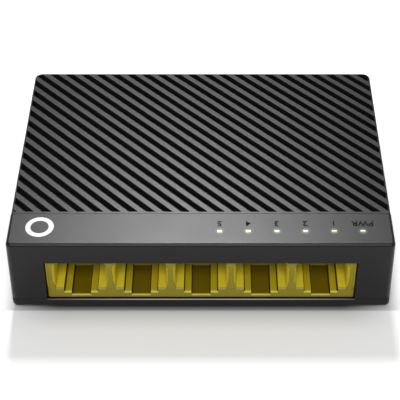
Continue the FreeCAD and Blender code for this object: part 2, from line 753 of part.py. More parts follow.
def power_inductor():
    """A shielded square inductor with cut corners and end terminals."""
    x, y = INDUCTOR_AT
    body = centred(x, y, 6.0, 6.0, BOARD_TOP_Z + 0.1, BOARD_TOP_Z + 3.0)
    body = fillet(body, 1.0, lambda b: b.XLength < 0.01 and b.YLength < 0.01)
    core = rod(x, y, 2.1, BOARD_TOP_Z + 2.8, BOARD_TOP_Z + 3.1)
    ends = [centred(x + s * 2.5, y, 1.2, 2.4, BOARD_TOP_Z, BOARD_TOP_Z + 0.3) for s in (-1, 1)]
    return fused([body, core] + ends)


def can_capacitor(x, y, r, h):
    """An upright can capacitor: crimp groove above its base and a scored vent on top."""
    can = rod(x, y, r, BOARD_TOP_Z + SEAT_GAP, BOARD_TOP_Z + h)
    can = fillet(can, 0.4, lambda b: b.ZLength < 0.01)
    groove = Part.makeTorus(r + 0.25, 0.45, Vec(x, y, BOARD_TOP_Z + 1.6), Z_AXIS)
    score_z = BOARD_TOP_Z + h - 0.12
    scores = [centred(x, y, r, 0.2, score_z, FAR), centred(x, y, 0.2, r, score_z, FAR)]
    return can.cut(Part.makeCompound([groove])).cut(fused(scores))


def chip_parts(places, length, width, height):
    """Small surface-mount parts at (x, y, turned) places, each with raised end caps."""
    parts = []
    for x, y, turned in places:
        body = centred(0, 0, length, width, BOARD_TOP_Z, BOARD_TOP_Z + height - 0.04)
        caps = []
        for side in (-1, 1):
            cap_x = side * (length / 2 - 0.15)
            caps.append(centred(cap_x, 0, 0.3, width, BOARD_TOP_Z, BOARD_TOP_Z + height))
        part = fused([body] + caps)
        if turned:
            part.rotate(Vec(0, 0, 0), Z_AXIS, 90)
        part.translate(Vec(x, y, 0))
        parts.append(part)
    return parts


def chip_capacitors():
    """Decoupling capacitors round the controller and by the supply."""
    x, y = CHIP_AT
    places = [(x + (i - 2) * 3.0, y + 9.9, False) for i in range(5)]
    places += [(x + side * 10.0, y + (i - 1) * 4.0, True) for side in (-1, 1) for i in range(3)]
    places += [(INDUCTOR_AT[0], INDUCTOR_AT[1] - 5.2, False)]
    return chip_parts(places, CHIP_L, CHIP_W, CHIP_CAPACITOR_H)


def chip_resistors():
    """One series resistor beside each light and a termination row behind the transformers."""
    places = [(x - 2.7, LED_BOARD_Y, True) for x in LED_X]
    places += [(x + side * 1.6, TRANSFORMER_Y + 8.6, True) for x in PORT_X[1:] for side in (-1, 1)]
    return chip_parts(places, CHIP_L, CHIP_W, CHIP_RESISTOR_H)


def inlet_slots():
    """The two slots in the board for the power inlet's solder tails."""
    w = INLET_TAIL_T + 0.3
    d = INLET_TAIL_W + 0.3
    return [centred(INLET_BACK_X + at, INLET_Y, w, d, 0, FAR) for at in (-0.3, SLEEVE_TAIL_X)]


def dc_inlet_body():
    """The barrel inlet's housing: round bore from the side, slot under it for the sprung contact."""
    axis_z = INLET_AXIS_Z
    top = BOARD_TOP_Z + INLET_H
    front = INLET_BACK_X + INLET_L
    floor = front - INLET_BORE_DEPTH
    left = INLET_Y - INLET_W / 2
    body = box(INLET_BACK_X, front, left, left + INLET_W, BOARD_TOP_Z + SEAT_GAP, top)
    rim = [e for e in body.Edges if e.BoundBox.ZMin > top - 0.01]
    body = body.makeFillet(0.6, rim)
    mouth = Part.makeCone(INLET_BORE_R, INLET_BORE_R + 0.5, 0.5, Vec(front - 0.5, INLET_Y, axis_z), X_AXIS)
    cuts = [
        rod_x(INLET_Y, axis_z, INLET_BORE_R, floor, front + 1),
        mouth,
        rod_x(INLET_Y, axis_z, INLET_RIVET_R + SEAT_GAP, INLET_BACK_X - 1, floor + 1),
        box(INLET_BACK_X + 4.0, front - 1.2, INLET_Y - 1.1, INLET_Y + 1.1, 0, axis_z),
    ]
    return body.cut(Part.makeCompound(cuts))


def dc_inlet_pin():
    """The centre pin, riveted to a flat tail that runs down the back of the housing."""
    axis_z = INLET_AXIS_Z
    tip_x = INLET_BACK_X + INLET_L - 0.8
    base_x = INLET_BACK_X + INLET_L - INLET_BORE_DEPTH + SEAT_GAP
    rivet = rod_x(INLET_Y, axis_z, INLET_RIVET_R, INLET_BACK_X - 0.3, base_x + 0.2)
    pin = rod_x(INLET_Y, axis_z, INLET_PIN_R, base_x, tip_x)
    pin = fillet(pin, 0.45, lambda b: b.XMin > tip_x - 0.01)
    tail_x = INLET_BACK_X - 0.05
    low, high = INLET_Y - INLET_TAIL_W / 2, INLET_Y + INLET_TAIL_W / 2
    tail = box(tail_x - INLET_TAIL_T, tail_x, low, high, TAIL_BOTTOM_Z, axis_z + 1.6)
    return fused([pin, rivet, tail])


def dc_inlet_sleeve_tail():
    """The sprung contact's fixed terminal and solder tail."""
    x = INLET_BACK_X + SLEEVE_TAIL_X
    return centred(x, INLET_Y, INLET_TAIL_T, 1.8, TAIL_BOTTOM_Z, SLEEVE_PIVOT_Z - 0.1)


def dc_inlet_spring():
    """The leaf that presses on the plug's sleeve: rises forward, with a rounded contact at its end."""
    root = INLET_BACK_X + SLEEVE_TAIL_X - 0.2
    crest = INLET_BACK_X + SLEEVE_TAIL_X + SLEEVE_L
    tip = crest + SLEEVE_NOSE
    width = 1.6
    profile = [
        (root, SLEEVE_PIVOT_Z),
        (crest, SLEEVE_CONTACT_Z),
        (tip, SLEEVE_CONTACT_Z - 0.6),
        (tip - 0.15, SLEEVE_CONTACT_Z - 0.8),
        (crest - 0.1, SLEEVE_CONTACT_Z - SLEEVE_T),
        (root, SLEEVE_PIVOT_Z - SLEEVE_T + 0.2),
    ]
    corners = [Vec(x, INLET_Y - width / 2, z) for x, z in profile]
    face = Part.Face(Part.makePolygon(corners + corners[:1]))
    return face.extrude(Vec(0, width, 0))


def export(name, shape):
    """Writes one node; a list becomes a group of separate solids."""
    if isinstance(shape, list):
        shape = Part.makeCompound(shape)
    if not shape.isValid():
        print("not valid:", name)
    shape.exportStep("parts/" + name + ".step")


def main():
    os.makedirs("parts", exist_ok=True)
    nodes = {
        "top_cover": top_cover(),
        "bottom_tray": bottom_tray(),
        "case_screws": case_screws(),
        "board_screws": board_screws(),
        "circuit_board": circuit_board(),
        "jack_housing": jack_housing(),
        "light_guide": light_guide(),
        "switch_chip": switch_chip(),
        "crystal": crystal(),
        "regulator_chip": regulator_chip(),
        "power_inductor": power_inductor(),
        "input_capacitor": can_capacitor(*INPUT_CAPACITOR_AT, *INPUT_CAPACITOR_SIZE),
        "output_capacitor": can_capacitor(*OUTPUT_CAPACITOR_AT, *OUTPUT_CAPACITOR_SIZE),
        "chip_capacitors": chip_capacitors(),
        "chip_resistors": chip_resistors(),
        "dc_inlet_body": dc_inlet_body(),
        "dc_inlet_pin": dc_inlet_pin(),
        "dc_inlet_sleeve_tail": dc_inlet_sleeve_tail(),
        "dc_inlet_spring": dc_inlet_spring(),
    }
    for i, (x, y) in enumerate(FEET, 1):
        nodes["rubber_foot_" + str(i)] = rubber_foot(x, y)
    for i, x in enumerate(PORT_X, 1):
        nodes["port_" + str(i) + "_contact_leads"] = contact_leads(x)
        nodes["port_" + str(i) + "_contact_springs"] = contact_springs(x)
        nodes["transformer_" + str(i)] = transformer(x)
    led_names = ["led_power"] + ["led_port_" + str(i) for i in range(1, PORT_COUNT + 1)]
    for name, x in zip(led_names, LED_X):
        nodes[name] = led(x)
    for name, shape in nodes.items():
        export(name, shape)
    print(len(nodes), "nodes")


main()
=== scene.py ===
"""Looks for a small desktop network switch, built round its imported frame.

The frame gives every node's place. Each operator models one piece, or a group of like pieces, with
hand tools, gives it a finish of its own and makes it ride on its body. Lengths are in metres.
"""

import math

import bmesh
import bpy
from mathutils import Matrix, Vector


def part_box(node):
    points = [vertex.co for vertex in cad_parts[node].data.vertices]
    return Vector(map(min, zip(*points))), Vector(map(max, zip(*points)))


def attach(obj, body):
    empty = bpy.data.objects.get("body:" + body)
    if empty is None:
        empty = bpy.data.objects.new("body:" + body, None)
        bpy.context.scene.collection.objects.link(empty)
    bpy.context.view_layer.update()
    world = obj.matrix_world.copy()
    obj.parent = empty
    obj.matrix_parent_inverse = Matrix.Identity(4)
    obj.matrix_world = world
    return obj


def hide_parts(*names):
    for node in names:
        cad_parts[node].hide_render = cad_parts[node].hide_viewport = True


bl_info = {
    "name": "Desktop network switch",
    "version": (1, 0, 0),
    "blender": (4, 5, 0),
    "location": "3D View > Sidebar > Switch",
    "description": "Ribbed case, sockets, sprung contacts, lights and board of a small network switch",
    "category": "Object",
}

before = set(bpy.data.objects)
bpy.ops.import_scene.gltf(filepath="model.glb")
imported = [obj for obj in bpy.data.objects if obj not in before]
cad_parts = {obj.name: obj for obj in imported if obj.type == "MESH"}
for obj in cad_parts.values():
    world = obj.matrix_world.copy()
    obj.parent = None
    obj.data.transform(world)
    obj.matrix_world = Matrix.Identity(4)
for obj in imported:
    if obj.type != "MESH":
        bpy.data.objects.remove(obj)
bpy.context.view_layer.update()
MM = 0.001
MAIN_BODY = "switch"
PORTS = (1, 2, 3, 4, 5)
LIGHT_NODES = ["led_power"] + [f"led_port_{n}" for n in PORTS]
COVER_LOW, COVER_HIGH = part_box("top_cover")
TRAY_LOW, TRAY_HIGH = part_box("bottom_tray")
JACK_LOW, JACK_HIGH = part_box("jack_housing")
BOARD_LOW, BOARD_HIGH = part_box("circuit_board")
INLET_LOW, INLET_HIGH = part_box("dc_inlet_body")
GUIDE_LOW, GUIDE_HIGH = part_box("light_guide")


def middle(node):
    """The middle of a node's box."""
    low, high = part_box(node)
    return (low + high) / 2


PORT_X = {n: middle(f"transformer_{n}").x for n in PORTS}
PORT_PITCH = PORT_X[1] - PORT_X[2]
LIGHT_X = [middle(name).x for name in LIGHT_NODES]
LIGHT_PITCH = LIGHT_X[0] - LIGHT_X[1]
INLET_Y = middle("dc_inlet_body").y
INLET_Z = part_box("dc_inlet_pin")[1].z - 1.6 * MM
FEET = {f"rubber_foot_{n}": middle(f"rubber_foot_{n}") for n in (1, 2, 3, 4)}
WINDOW_HALF_W = 36.75 * MM
WINDOW_TOP_Z = 15.9 * MM
PARTING_W = 0.25 * MM
ROOF_T = 2.5 * MM
BOSS_R = 2.1 * MM
PILOT_R = 1.28 * MM
PILOT_HIGH_Z = 15 * MM
PLUG_HOLE_R = 4.1 * MM
TRAY_RIM_Z = 3.8 * MM
SIDE_INSET = 0.15 * MM

# A socket: its mouth over the latch's wide step and narrow notch.
MOUTH_HALF_W = 6 * MM
MOUTH_LOW_Z = 6.8 * MM
MOUTH_HIGH_Z = 13.7 * MM
MOUTH_DEPTH = 13 * MM
STEP_HALF_W = 4.075 * MM
STEP_LOW_Z = 5.6 * MM
NOTCH_HALF_W = 2.3 * MM
NOTCH_LOW_Z = 4.7 * MM
LATCH_HIGH_Z = 8 * MM
LATCH_DEPTH = 9.5 * MM
BROW_Z = 15.3 * MM
FLARE = 1.106

# A socket's wires: fixed tails in two rows and springs that fold back at the mouth.
WIRES = range(8)
WIRE_PITCH = 1.02 * MM
TAIL_Y = (-17.6 * MM, -19.9 * MM)
FOLD_Y = -29.25 * MM
FOLD_Z = 15.25 * MM
FOLD_R = 0.45 * MM
FOLD_GAP = 0.06 * MM
SPRING_LENGTH = 8.6 * MM
SPRING_SLOPE = math.radians(22)

SCREW_X = (40.7 * MM, 39.6 * MM)
SCREW_Y = (-26.6 * MM, 28.4 * MM)
SCREWS = [(side * x, y) for x, y in zip(SCREW_X, SCREW_Y) for side in (-1, 1)]
SCREW_HEAD_LOW_Z = 1.78 * MM
SCREW_HEAD_HIGH_Z = 3.28 * MM
SCREW_TIP_Z = 12.28 * MM
INK_T = 0.012 * MM
LIGHT_Y = GUIDE_LOW.y + 0.4 * MM
LIGHT_SLOT = Vector((0.635 * MM, 0.435 * MM, 0))
MARK_PLACE = Vector((-37.6 * MM, -27.2 * MM, 0))


def length(name, description, default):
    return bpy.props.FloatProperty(
        name=name, description=description, default=default, unit="LENGTH", precision=6
    )


def angle(name, description, default):
    return bpy.props.FloatProperty(
        name=name, description=description, default=default, unit="ROTATION"
    )


def colour(name, description, default):
    return bpy.props.FloatVectorProperty(
        name=name, description=description, default=default, subtype="COLOR", min=0, max=1
    )


class SwitchSizes(bpy.types.PropertyGroup):
    """Sizes that shape the visible pieces."""

    groove_pitch: length("Groove pitch", "From groove to groove, across them", 2.955 * MM)
    groove_turn: angle("Groove turn", "Turn of the grooves from the case's width", math.radians(-46.0))
    groove_shift: length("Groove shift", "Shift of the whole field across the grooves", 0.02 * MM)
    groove_width: length("Groove width", "Width between two ribs near their tops", 1.38 * MM)
    groove_floor: length("Groove floor", "Width of a groove's floor", 1.06 * MM)
    groove_depth: length("Groove depth", "Depth of a groove below the rib tops", 1.2 * MM)
    rib_round: length("Rib rounding", "Rounding along the ribs' upper edges", 0.12 * MM)
    field_drop: length("Field drop", "Step down from the band to the rib tops", 0.15 * MM)
    field_rim: length("Field rim", "Plain rim left round the ribs", 0.5 * MM)
    front_rim: length("Front rim", "Plain strip between the band and the grooves", 0.9 * MM)
    band_depth: length("Band depth", "Depth of the smooth band over the sockets", 10.85 * MM)
    band_edge: length("Band edge", "Rounding of the band's upper edge", 0.75 * MM)
    back_edge: length("Back edge", "Rounding of the upper edge round the ribs", 0.35 * MM)
    front_corner: length("Front corner", "Upright rounding at the front corners", 1.2 * MM)
    back_corner: length("Back corner", "Upright rounding at the back corners", 1.9 * MM)
    draft: length("Draft", "How far each side leans in over its height", 0.25 * MM)
    wall: length("Wall", "Thickness of the case's walls", 1.8 * MM)
    wire: length("Contact wire", "Thickness of a contact's wire", 0.4 * MM)
    digit: length("Digit height", "Height of the printed digits", 1.68 * MM)
    mark: length("Ring mark", "Radius of the printed ring", 3.3 * MM)


class SwitchColours(bpy.types.PropertyGroup):
    """Colours of the visible finishes."""

    case: colour("Case", "Moulded black of the cover and tray", (0.006, 0.006, 0.0063))
    block: colour("Socket block", "Moulded yellow of the socket block", (0.66, 0.54, 0.03))
    gold: colour("Contact gold", "Plating of the contacts", (0.83, 0.6, 0.24))
    nickel: colour("Nickel", "Plating of pins, leads and screws", (0.62, 0.6, 0.56))
    ink: colour("Label ink", "Ink of the printed digits", (0.004, 0.004, 0.004))
    mark: colour("Mark ink", "Ink of the printed ring", (0.8, 0.82, 0.8))
    glow: colour("Window glow", "Light that comes up the guide", (0.62, 0.9, 0.3))
    board: colour("Board", "Solder resist of the circuit board", (0.02, 0.16, 0.05))
    floor: colour("Floor", "Floor under the case", (0.92, 0.92, 0.92))


def sizes():
    return bpy.context.scene.switch_sizes


def colours():
    return bpy.context.scene.switch_colours


# ---------------------------------------------------------------- hand tools


def deselect_all():
    """Leaves edit mode and clears the selection."""
    if bpy.context.mode != "OBJECT":
        bpy.ops.object.mode_set(mode="OBJECT")
    bpy.ops.object.select_all(action="DESELECT")


def activate(obj):
    deselect_all()
    obj.select_set(True)
    bpy.context.view_layer.objects.active = obj


def settle(name):
    """Names the new object and moves its place into its mesh."""
    obj = bpy.context.active_object
    obj.name = name
    activate(obj)
    bpy.ops.object.transform_apply(location=True, rotation=True, scale=True)
    return obj


def block(low, high, name="tool"):
    """A rectangular block between two corners."""
    deselect_all()
    low, high = Vector(low), Vector(high)
    bpy.ops.mesh.primitive_cube_add(size=1, location=(low + high) / 2, scale=high - low)
    return settle(name)


def bar(centre, radius, low, high, along="Z", sides=32, name="tool"):
    """A round bar between two places on its axis."""
    deselect_all()
    turn = {"X": (0, math.pi / 2, 0), "Y": (math.pi / 2, 0, 0), "Z": (0, 0, 0)}[along]
    place = Vector(centre)
    place["XYZ".index(along)] = (low + high) / 2
    bpy.ops.mesh.primitive_cylinder_add(
        vertices=sides, radius=radius, depth=high - low, location=place, rotation=turn
    )
    return settle(name)


def pick(obj, kind, test):
    """Enters edit mode with only the vertices, edges or faces that pass the test selected."""
    activate(obj)
    bpy.ops.object.mode_set(mode="EDIT")
    bpy.ops.mesh.select_mode(type=kind)
    bpy.ops.mesh.select_all(action="DESELECT")
    mesh = bmesh.from_edit_mesh(obj.data)
    for item in {"VERT": mesh.verts, "EDGE": mesh.edges, "FACE": mesh.faces}[kind]:
        if test(item):
            item.select_set(True)
    bmesh.update_edit_mesh(obj.data)


def leave_edit():
    bpy.ops.object.mode_set(mode="OBJECT")


def near(a, b, room=0.01 * MM):
    return abs(a - b) < room


def level(edge, z):
    """True for an edge that lies at a height."""
    return all(near(v.co.z, z) for v in edge.verts)


def upright(edge):
    """True for an edge along Z."""
    a, b = (v.co for v in edge.verts)
    return near(a.x, b.x) and near(a.y, b.y)


def round_edges(obj, test, radius, segments=6):
    """Rounds the edges that pass the test."""
    pick(obj, "EDGE", test)
    bpy.ops.mesh.bevel(offset=radius, segments=segments, affect="EDGES")
    leave_edit()


def squeeze(obj, test, factor, centre=(0, 0, 0)):
    """Scales the vertices that pass the test about a centre."""
    pick(obj, "VERT", test)
    bpy.ops.transform.resize(value=factor, center_override=centre)
    leave_edit()


def shift(obj, test, move):
    """Moves the vertices that pass the test."""
    pick(obj, "VERT", test)
    bpy.ops.transform.translate(value=move)
    leave_edit()


def slice_level(obj, heights):
    """Cuts edges round the mesh at each height."""
    for z in heights:
        pick(obj, "FACE", lambda face: True)
        bpy.ops.mesh.bisect(plane_co=(0, 0, z), plane_no=(0, 0, 1))
        leave_edit()


def joined(objects):
    """One object from several."""
    activate(objects[0])
    for obj in objects[1:]:
        obj.select_set(True)
    bpy.ops.object.join()
    return objects[0]


def copy_at(obj, move, name=None):
    """A copy with its own mesh, moved in its mesh."""
    twin = obj.copy()
    twin.data = obj.data.copy()
    bpy.context.scene.collection.objects.link(twin)
    twin.location = move
    bpy.context.view_layer.objects.active = twin
    return settle(name or obj.name)


def combine(obj, tool, operation="DIFFERENCE"):
    """Cuts with, adds or keeps the common part of a tool, which is used up."""
    activate(obj)
    modifier = obj.modifiers.new("combine", "BOOLEAN")
    modifier.solver = "EXACT"
    modifier.operation = operation
    modifier.object = tool
    bpy.ops.object.modifier_apply(modifier=modifier.name)
    bpy.data.objects.remove(tool)


def clean(obj):
    """Merges doubles, drops needless edges and turns every face outwards."""
    pick(obj, "FACE", lambda face: True)
    bpy.ops.mesh.remove_doubles(threshold=0.001 * MM)
    bpy.ops.mesh.dissolve_degenerate(threshold=0.0005 * MM)
    bpy.ops.mesh.normals_make_consistent(inside=False)
    leave_edit()


def soften(obj, width, segments=2, limit=math.radians(50)):
    """Breaks every sharp edge by a small width."""
    activate(obj)
    modifier = obj.modifiers.new("soften", "BEVEL")
    modifier.width = width
    modifier.segments = segments
    modifier.limit_method = "ANGLE"
    modifier.angle_limit = limit
    modifier.use_clamp_overlap = False
    bpy.ops.object.modifier_apply(modifier=modifier.name)


def shade(obj, limit=math.radians(40)):
    """Smooths the rounded edges while flat faces keep flat shading."""
    activate(obj)
    bpy.ops.object.shade_smooth_by_angle(angle=limit)
    modifier = obj.modifiers.new("normals", "WEIGHTED_NORMAL")
    modifier.keep_sharp = True
    bpy.ops.object.modifier_apply(modifier=modifier.name)


def give(obj, finish, nodes=(), body=MAIN_BODY):
    """Finishes a piece: its material, its body and the nodes that it stands for."""
    obj.data.materials.clear()
    obj.data.materials.append(material(finish))
    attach(obj, body)
    if nodes:
        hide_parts(*nodes)


# ---------------------------------------------------------------- finishes


class Wire:
    """A socket in a material, with Python's operators for its maths."""

    def __init__(self, paint, socket):
        self.paint, self.socket = paint, socket

    def maths(self, operation, first, second=0.0):
        return self.paint.node("ShaderNodeMath", {"operation": operation}, {0: first, 1: second})

    def __add__(self, other):
        return self.maths("ADD", self, other)

    __radd__ = __add__

    def __sub__(self, other):
        return self.maths("SUBTRACT", self, other)

    def __rsub__(self, other):
        return self.maths("SUBTRACT", other, self)

    def __mul__(self, other):
        return self.maths("MULTIPLY", self, other)

    __rmul__ = __mul__

    def __truediv__(self, other):
        return self.maths("DIVIDE", self, other)

    def __mod__(self, other):
        return self.maths("FLOORED_MODULO", self, other)

    def __lt__(self, other):
        return self.maths("LESS_THAN", self, other)

    def __gt__(self, other):
        return self.maths("GREATER_THAN", self, other)

    def __abs__(self):
        return self.maths("ABSOLUTE", self)

    def __pow__(self, other):
        return self.maths("POWER", self, other)

    def __or__(self, other):
        return self.maths("MAXIMUM", self, other)

    def rise(self, low, high):
        """0 below low, 1 above high and smooth between; low above high makes it fall."""
        settings = {"interpolation_type": "SMOOTHSTEP"}
        return self.paint.node("ShaderNodeMapRange", settings, {0: self, 1: low, 2: high})


class Paint:
    """One material's nodes, in front of its Principled shader."""

    def __init__(self, name):
        self.material = bpy.data.materials.new(name)
        self.material.use_nodes = True
        self.tree = self.material.node_tree
        self.tree.nodes.clear()
        self.shader = self.tree.nodes.new("ShaderNodeBsdfPrincipled")
        end = self.tree.nodes.new("ShaderNodeOutputMaterial")
        self.tree.links.new(self.shader.outputs[0], end.inputs["Surface"])
        self.place = self.node("ShaderNodeTexCoord", {}, {}, "Object")
        split = self.node("ShaderNodeSeparateXYZ", {}, {0: self.place})
        outputs = split.socket.node.outputs
        self.x, self.y, self.z = (Wire(self, outputs[i]) for i in range(3))

    def node(self, kind, settings, sockets, output=0):
        """Adds a node; settings come first, then the values or links of its sockets."""
        made = self.tree.nodes.new(kind)
        for key, value in settings.items():
            setattr(made, key, value)
        for key, value in sockets.items():
            if isinstance(value, Wire):
                self.tree.links.new(value.socket, made.inputs[key])
            else:
                made.inputs[key].default_value = value
        return Wire(self, made.outputs[output])

    def set(self, sockets):
        """Sets or links the shader's own sockets."""
        for key, value in sockets.items():
            if isinstance(value, Wire):
                self.tree.links.new(value.socket, self.shader.inputs[key])
            else:
                self.shader.inputs[key].default_value = value

    def grain(self, size, detail=2.0, stretch=(1, 1, 1)):
        """Noise with features about this size, stretched along the axes."""
        place = self.node(
            "ShaderNodeMapping", {}, {"Vector": self.place, "Scale": [1 / s for s in stretch]}
        )
        sockets = {"Vector": place, "Scale": 1 / size, "Detail": detail, "Roughness": 0.6}
        return self.node("ShaderNodeTexNoise", {}, sockets)

    def blend(self, share, first, second):
        """A colour from the first to the second by a share."""
        first, second = (c if isinstance(c, Wire) else (*c, 1) for c in (first, second))
        return self.node("ShaderNodeMix", {"data_type": "RGBA"}, {0: share, 6: first, 7: second}, 2)

    def relief(self, height, distance, strength=1.0):
        """Bump from a height."""
        sockets = {"Height": height, "Distance": distance, "Strength": strength}
        self.set({"Normal": self.node("ShaderNodeBump", {}, sockets)})


def shaded(tone, factor):
    """A colour made lighter or darker."""
    return tuple(min(1.0, c * factor) for c in tone)


def tinted(tone, factors):
    """A colour with each of its three parts scaled by its own factor."""
    return tuple(c * f for c, f in zip(tone, factors))


def from_row(paint, first, pitch):
    """Distance along X from the nearest of a row that starts at first."""
    return abs((paint.x - first + pitch / 2) % pitch - pitch / 2)


def clouded(paint, tone):
    """A faintly clouded colour, the clouds and the spark-eroded grain of moulded plastic."""
    clouds = paint.grain(9 * MM, 3)
    return paint.blend(clouds, shaded(tone, 0.82), shaded(tone, 1.2)), clouds, paint.grain(0.16 * MM)


def moulded(paint, tone, rough, grain_depth, gloss=0.5, spread=0.08):
    """Moulded plastic: fine grain, faint clouding and uneven gloss. Returns its colour."""
    base, clouds, fine = clouded(paint, tone)
    paint.set(
        {
            "Base Color": base,
            "Roughness": rough + (clouds - 0.5) * spread + (fine - 0.5) * spread,
            "Specular IOR Level": gloss,
        }
    )
    paint.relief(fine, grain_depth)
    return base


def case_black(paint):
    """Satin black, with painted shade darkening the grooves and a painted green glow round each window.
    """
    size, glow = sizes(), colours().glow
    base, clouds, fine = clouded(paint, colours().case)
    top = COVER_HIGH.z - size.field_drop
    half_w = COVER_HIGH.x - 0.9 * MM
    inside = (abs(paint.x) < half_w) * (paint.y > COVER_LOW.y + size.band_depth)
    # Painted shade: the grooves' floors and lower walls are darkened towards black.
    shaded_grooves = inside * (paint.y < COVER_HIGH.y - 0.7 * MM) * (paint.z > top - 1.6 * MM)
    shaded_grooves = shaded_grooves * paint.z.rise(top - 0.25 * MM, top - 0.9 * MM)
    base = paint.blend(shaded_grooves, base, (0.0005, 0.0005, 0.0005))
    # Painted glow: round each window the cover is tinted and lit with the window light, fading out by
    # 1.5 mm.
    across, along = from_row(paint, LIGHT_X[0], LIGHT_PITCH), paint.y - LIGHT_Y
    away = (across * across + along * along) ** 0.5
    painted_glow = away.rise(1.5 * MM, 0.4 * MM) * (paint.z > COVER_HIGH.z - 0.9 * MM)
    painted_glow = painted_glow * (abs(paint.x - (LIGHT_X[0] + LIGHT_X[-1]) / 2) < 2.8 * LIGHT_PITCH)
    paint.set(
        {
            "Base Color": paint.blend(painted_glow, base, shaded(glow, 0.05)),
            "Roughness": 0.33 + (clouds - 0.5) * 0.06 + (fine - 0.5) * 0.1 + shaded_grooves * 0.5,
            "Specular IOR Level": 0.22,
            "Emission Color": paint.blend(painted_glow * painted_glow, (0, 0, 0), glow),
            "Emission Strength": 0.1,
        }
    )
    paint.relief(fine, 0.012 * MM)


def tray_black(paint):
    """Matt black, with a painted highlight on the lip under the sockets, palest towards its middle."""
    base = moulded(paint, shaded(colours().case, 1.1), 0.5, 0.02 * MM, 0.2)
    # Painted highlight: the top strip of the lip under the window is made pale, brightest in the middle.
    lip = (paint.z > TRAY_RIM_Z - 0.1 * MM) * (paint.y < TRAY_LOW.y + 0.36 * MM)
    lip = lip * abs(paint.x).rise(52 * MM, 8 * MM) * (abs(paint.x) < WINDOW_HALF_W)
    paint.set({"Base Color": paint.blend(lip, base, (0.3, 0.3, 0.31))})


def jack_yellow(paint):
    """Glass-filled yellow moulding, with painted shade on the front face, the mouths' front floor edges,
    the steps, the notches and beside the step walls, and painted highlights on the flared sides and the
    step lips.
    """
    tone = colours().block
    fine, clouds = paint.grain(0.12 * MM), paint.grain(5 * MM, 3)
    flow = paint.grain(1.2 * MM, 4, (1, 6, 1))
    front, rim_depth = JACK_LOW.y, 0.5 * MM
    inside = paint.y.rise(front + 0.04 * MM, front + 0.3 * MM)
    at_rim = paint.y < front + rim_depth
    off = from_row(paint, 0, PORT_PITCH)
    # Painted shade and light: the front face gets a dark copy of the yellow, everything behind it a
    # bright one.
    base = paint.blend(inside, shaded(tone, 0.33), shaded(tone, 0.95))
    # Painted shade: the front edge of each mouth's floor is darkened.
    shoulder_shade = (paint.z > MOUTH_LOW_Z - 0.5 * MM) * (paint.z < MOUTH_LOW_Z + 0.15 * MM) * at_rim
    base = paint.blend(shoulder_shade * 0.85, base, shaded(tone, 0.3))
    # Painted highlight: the flared sides of each mouth, beside the dividers, are made lighter.
    flare = (off > MOUTH_HALF_W + 0.05 * MM) * inside * (paint.z > MOUTH_LOW_Z + 0.4 * MM)
    base = paint.blend(flare * 0.7, base, shaded(tone, 1.5))
    # Painted shade: the wide steps are darkened and the narrow notches below them turned dark brown,
    # fading in behind the front.
    step_shade = paint.z.rise(MOUTH_LOW_Z - 0.3 * MM, MOUTH_LOW_Z - 0.7 * MM)
    step_shade = step_shade * paint.y.rise(front + 0.4 * MM, front + 0.9 * MM)
    low = paint.z.rise(STEP_LOW_Z - 0.2 * MM, STEP_LOW_Z - 0.5 * MM)
    low = low * paint.y.rise(front + 0.3 * MM, front + 0.6 * MM)
    base = paint.blend(step_shade * 0.6, base, tinted(tone, (0.4, 0.36, 0)))
    base = paint.blend(low * 0.85, base, tinted(tone, (0.12, 0.09, 0)))
    # Painted highlight: the front lips of the steps and notches are turned a paler, greyer yellow.
    lip_highlight = (paint.z < STEP_LOW_Z + 0.6 * MM) * (paint.z > NOTCH_LOW_Z - 0.6 * MM) * inside * at_rim
    base = paint.blend(lip_highlight * 0.3, base, tinted(tone, (0.3, 0.32, 3)))
    # Painted shade: thin dark strips on the step and notch floors along their side walls.
    wall = 0.16 * MM
    wall_shade = (abs(off - STEP_HALF_W + 0.1 * MM) < wall) * (paint.z > STEP_LOW_Z - 0.1 * MM)
    wall_shade = wall_shade + (abs(off - NOTCH_HALF_W + 0.1 * MM) < wall) * (paint.z < STEP_LOW_Z - 0.05 * MM)
    wall_shade = wall_shade * (paint.z < MOUTH_LOW_Z - 0.05 * MM) * (paint.y > front + 0.4 * MM)
    base = paint.blend(wall_shade * 0.9, base, tinted(tone, (0.04, 0.03, 0)))
    speck = paint.blend(clouds * 0.6 + flow * 0.4, (0.86, 0.86, 0.86), (1, 1, 1))
    settings = {"data_type": "RGBA", "blend_type": "MULTIPLY"}
    base = paint.node("ShaderNodeMix", settings, {0: 1.0, 6: base, 7: speck}, 2)
    paint.set(
        {
            "Base Color": base,
            "Roughness": 0.42 + (clouds - 0.5) * 0.12 + (fine - 0.5) * 0.1,
            "Specular IOR Level": 0.22,
        }
    )
    paint.relief(fine, 0.008 * MM)


def metal(paint, tone, rough, stretch=(1, 1, 1)):
    """Plated metal with fine drawn lines and uneven gloss."""
    lines, patches = paint.grain(0.25 * MM, 3, stretch), paint.grain(2.5 * MM, 3)
    paint.set(
        {
            "Base Color": paint.blend(patches, shaded(tone, 0.85), shaded(tone, 1.1)),
            "Roughness": rough + (lines - 0.5) * 0.15 + (patches - 0.5) * 0.1,
            "Metallic": 1.0,
        }
    )
    paint.relief(lines, 0.003 * MM)


def contact_gold(paint):
    metal(paint, colours().gold, 0.24, (1, 8, 1))


def contact_nickel(paint):
    metal(paint, colours().nickel, 0.28, (6, 1, 1))


def screw_steel(paint):
    metal(paint, shaded(colours().nickel, 0.75), 0.34)


def crystal_can(paint):
    metal(paint, (0.66, 0.66, 0.67), 0.3, (6, 1, 1))


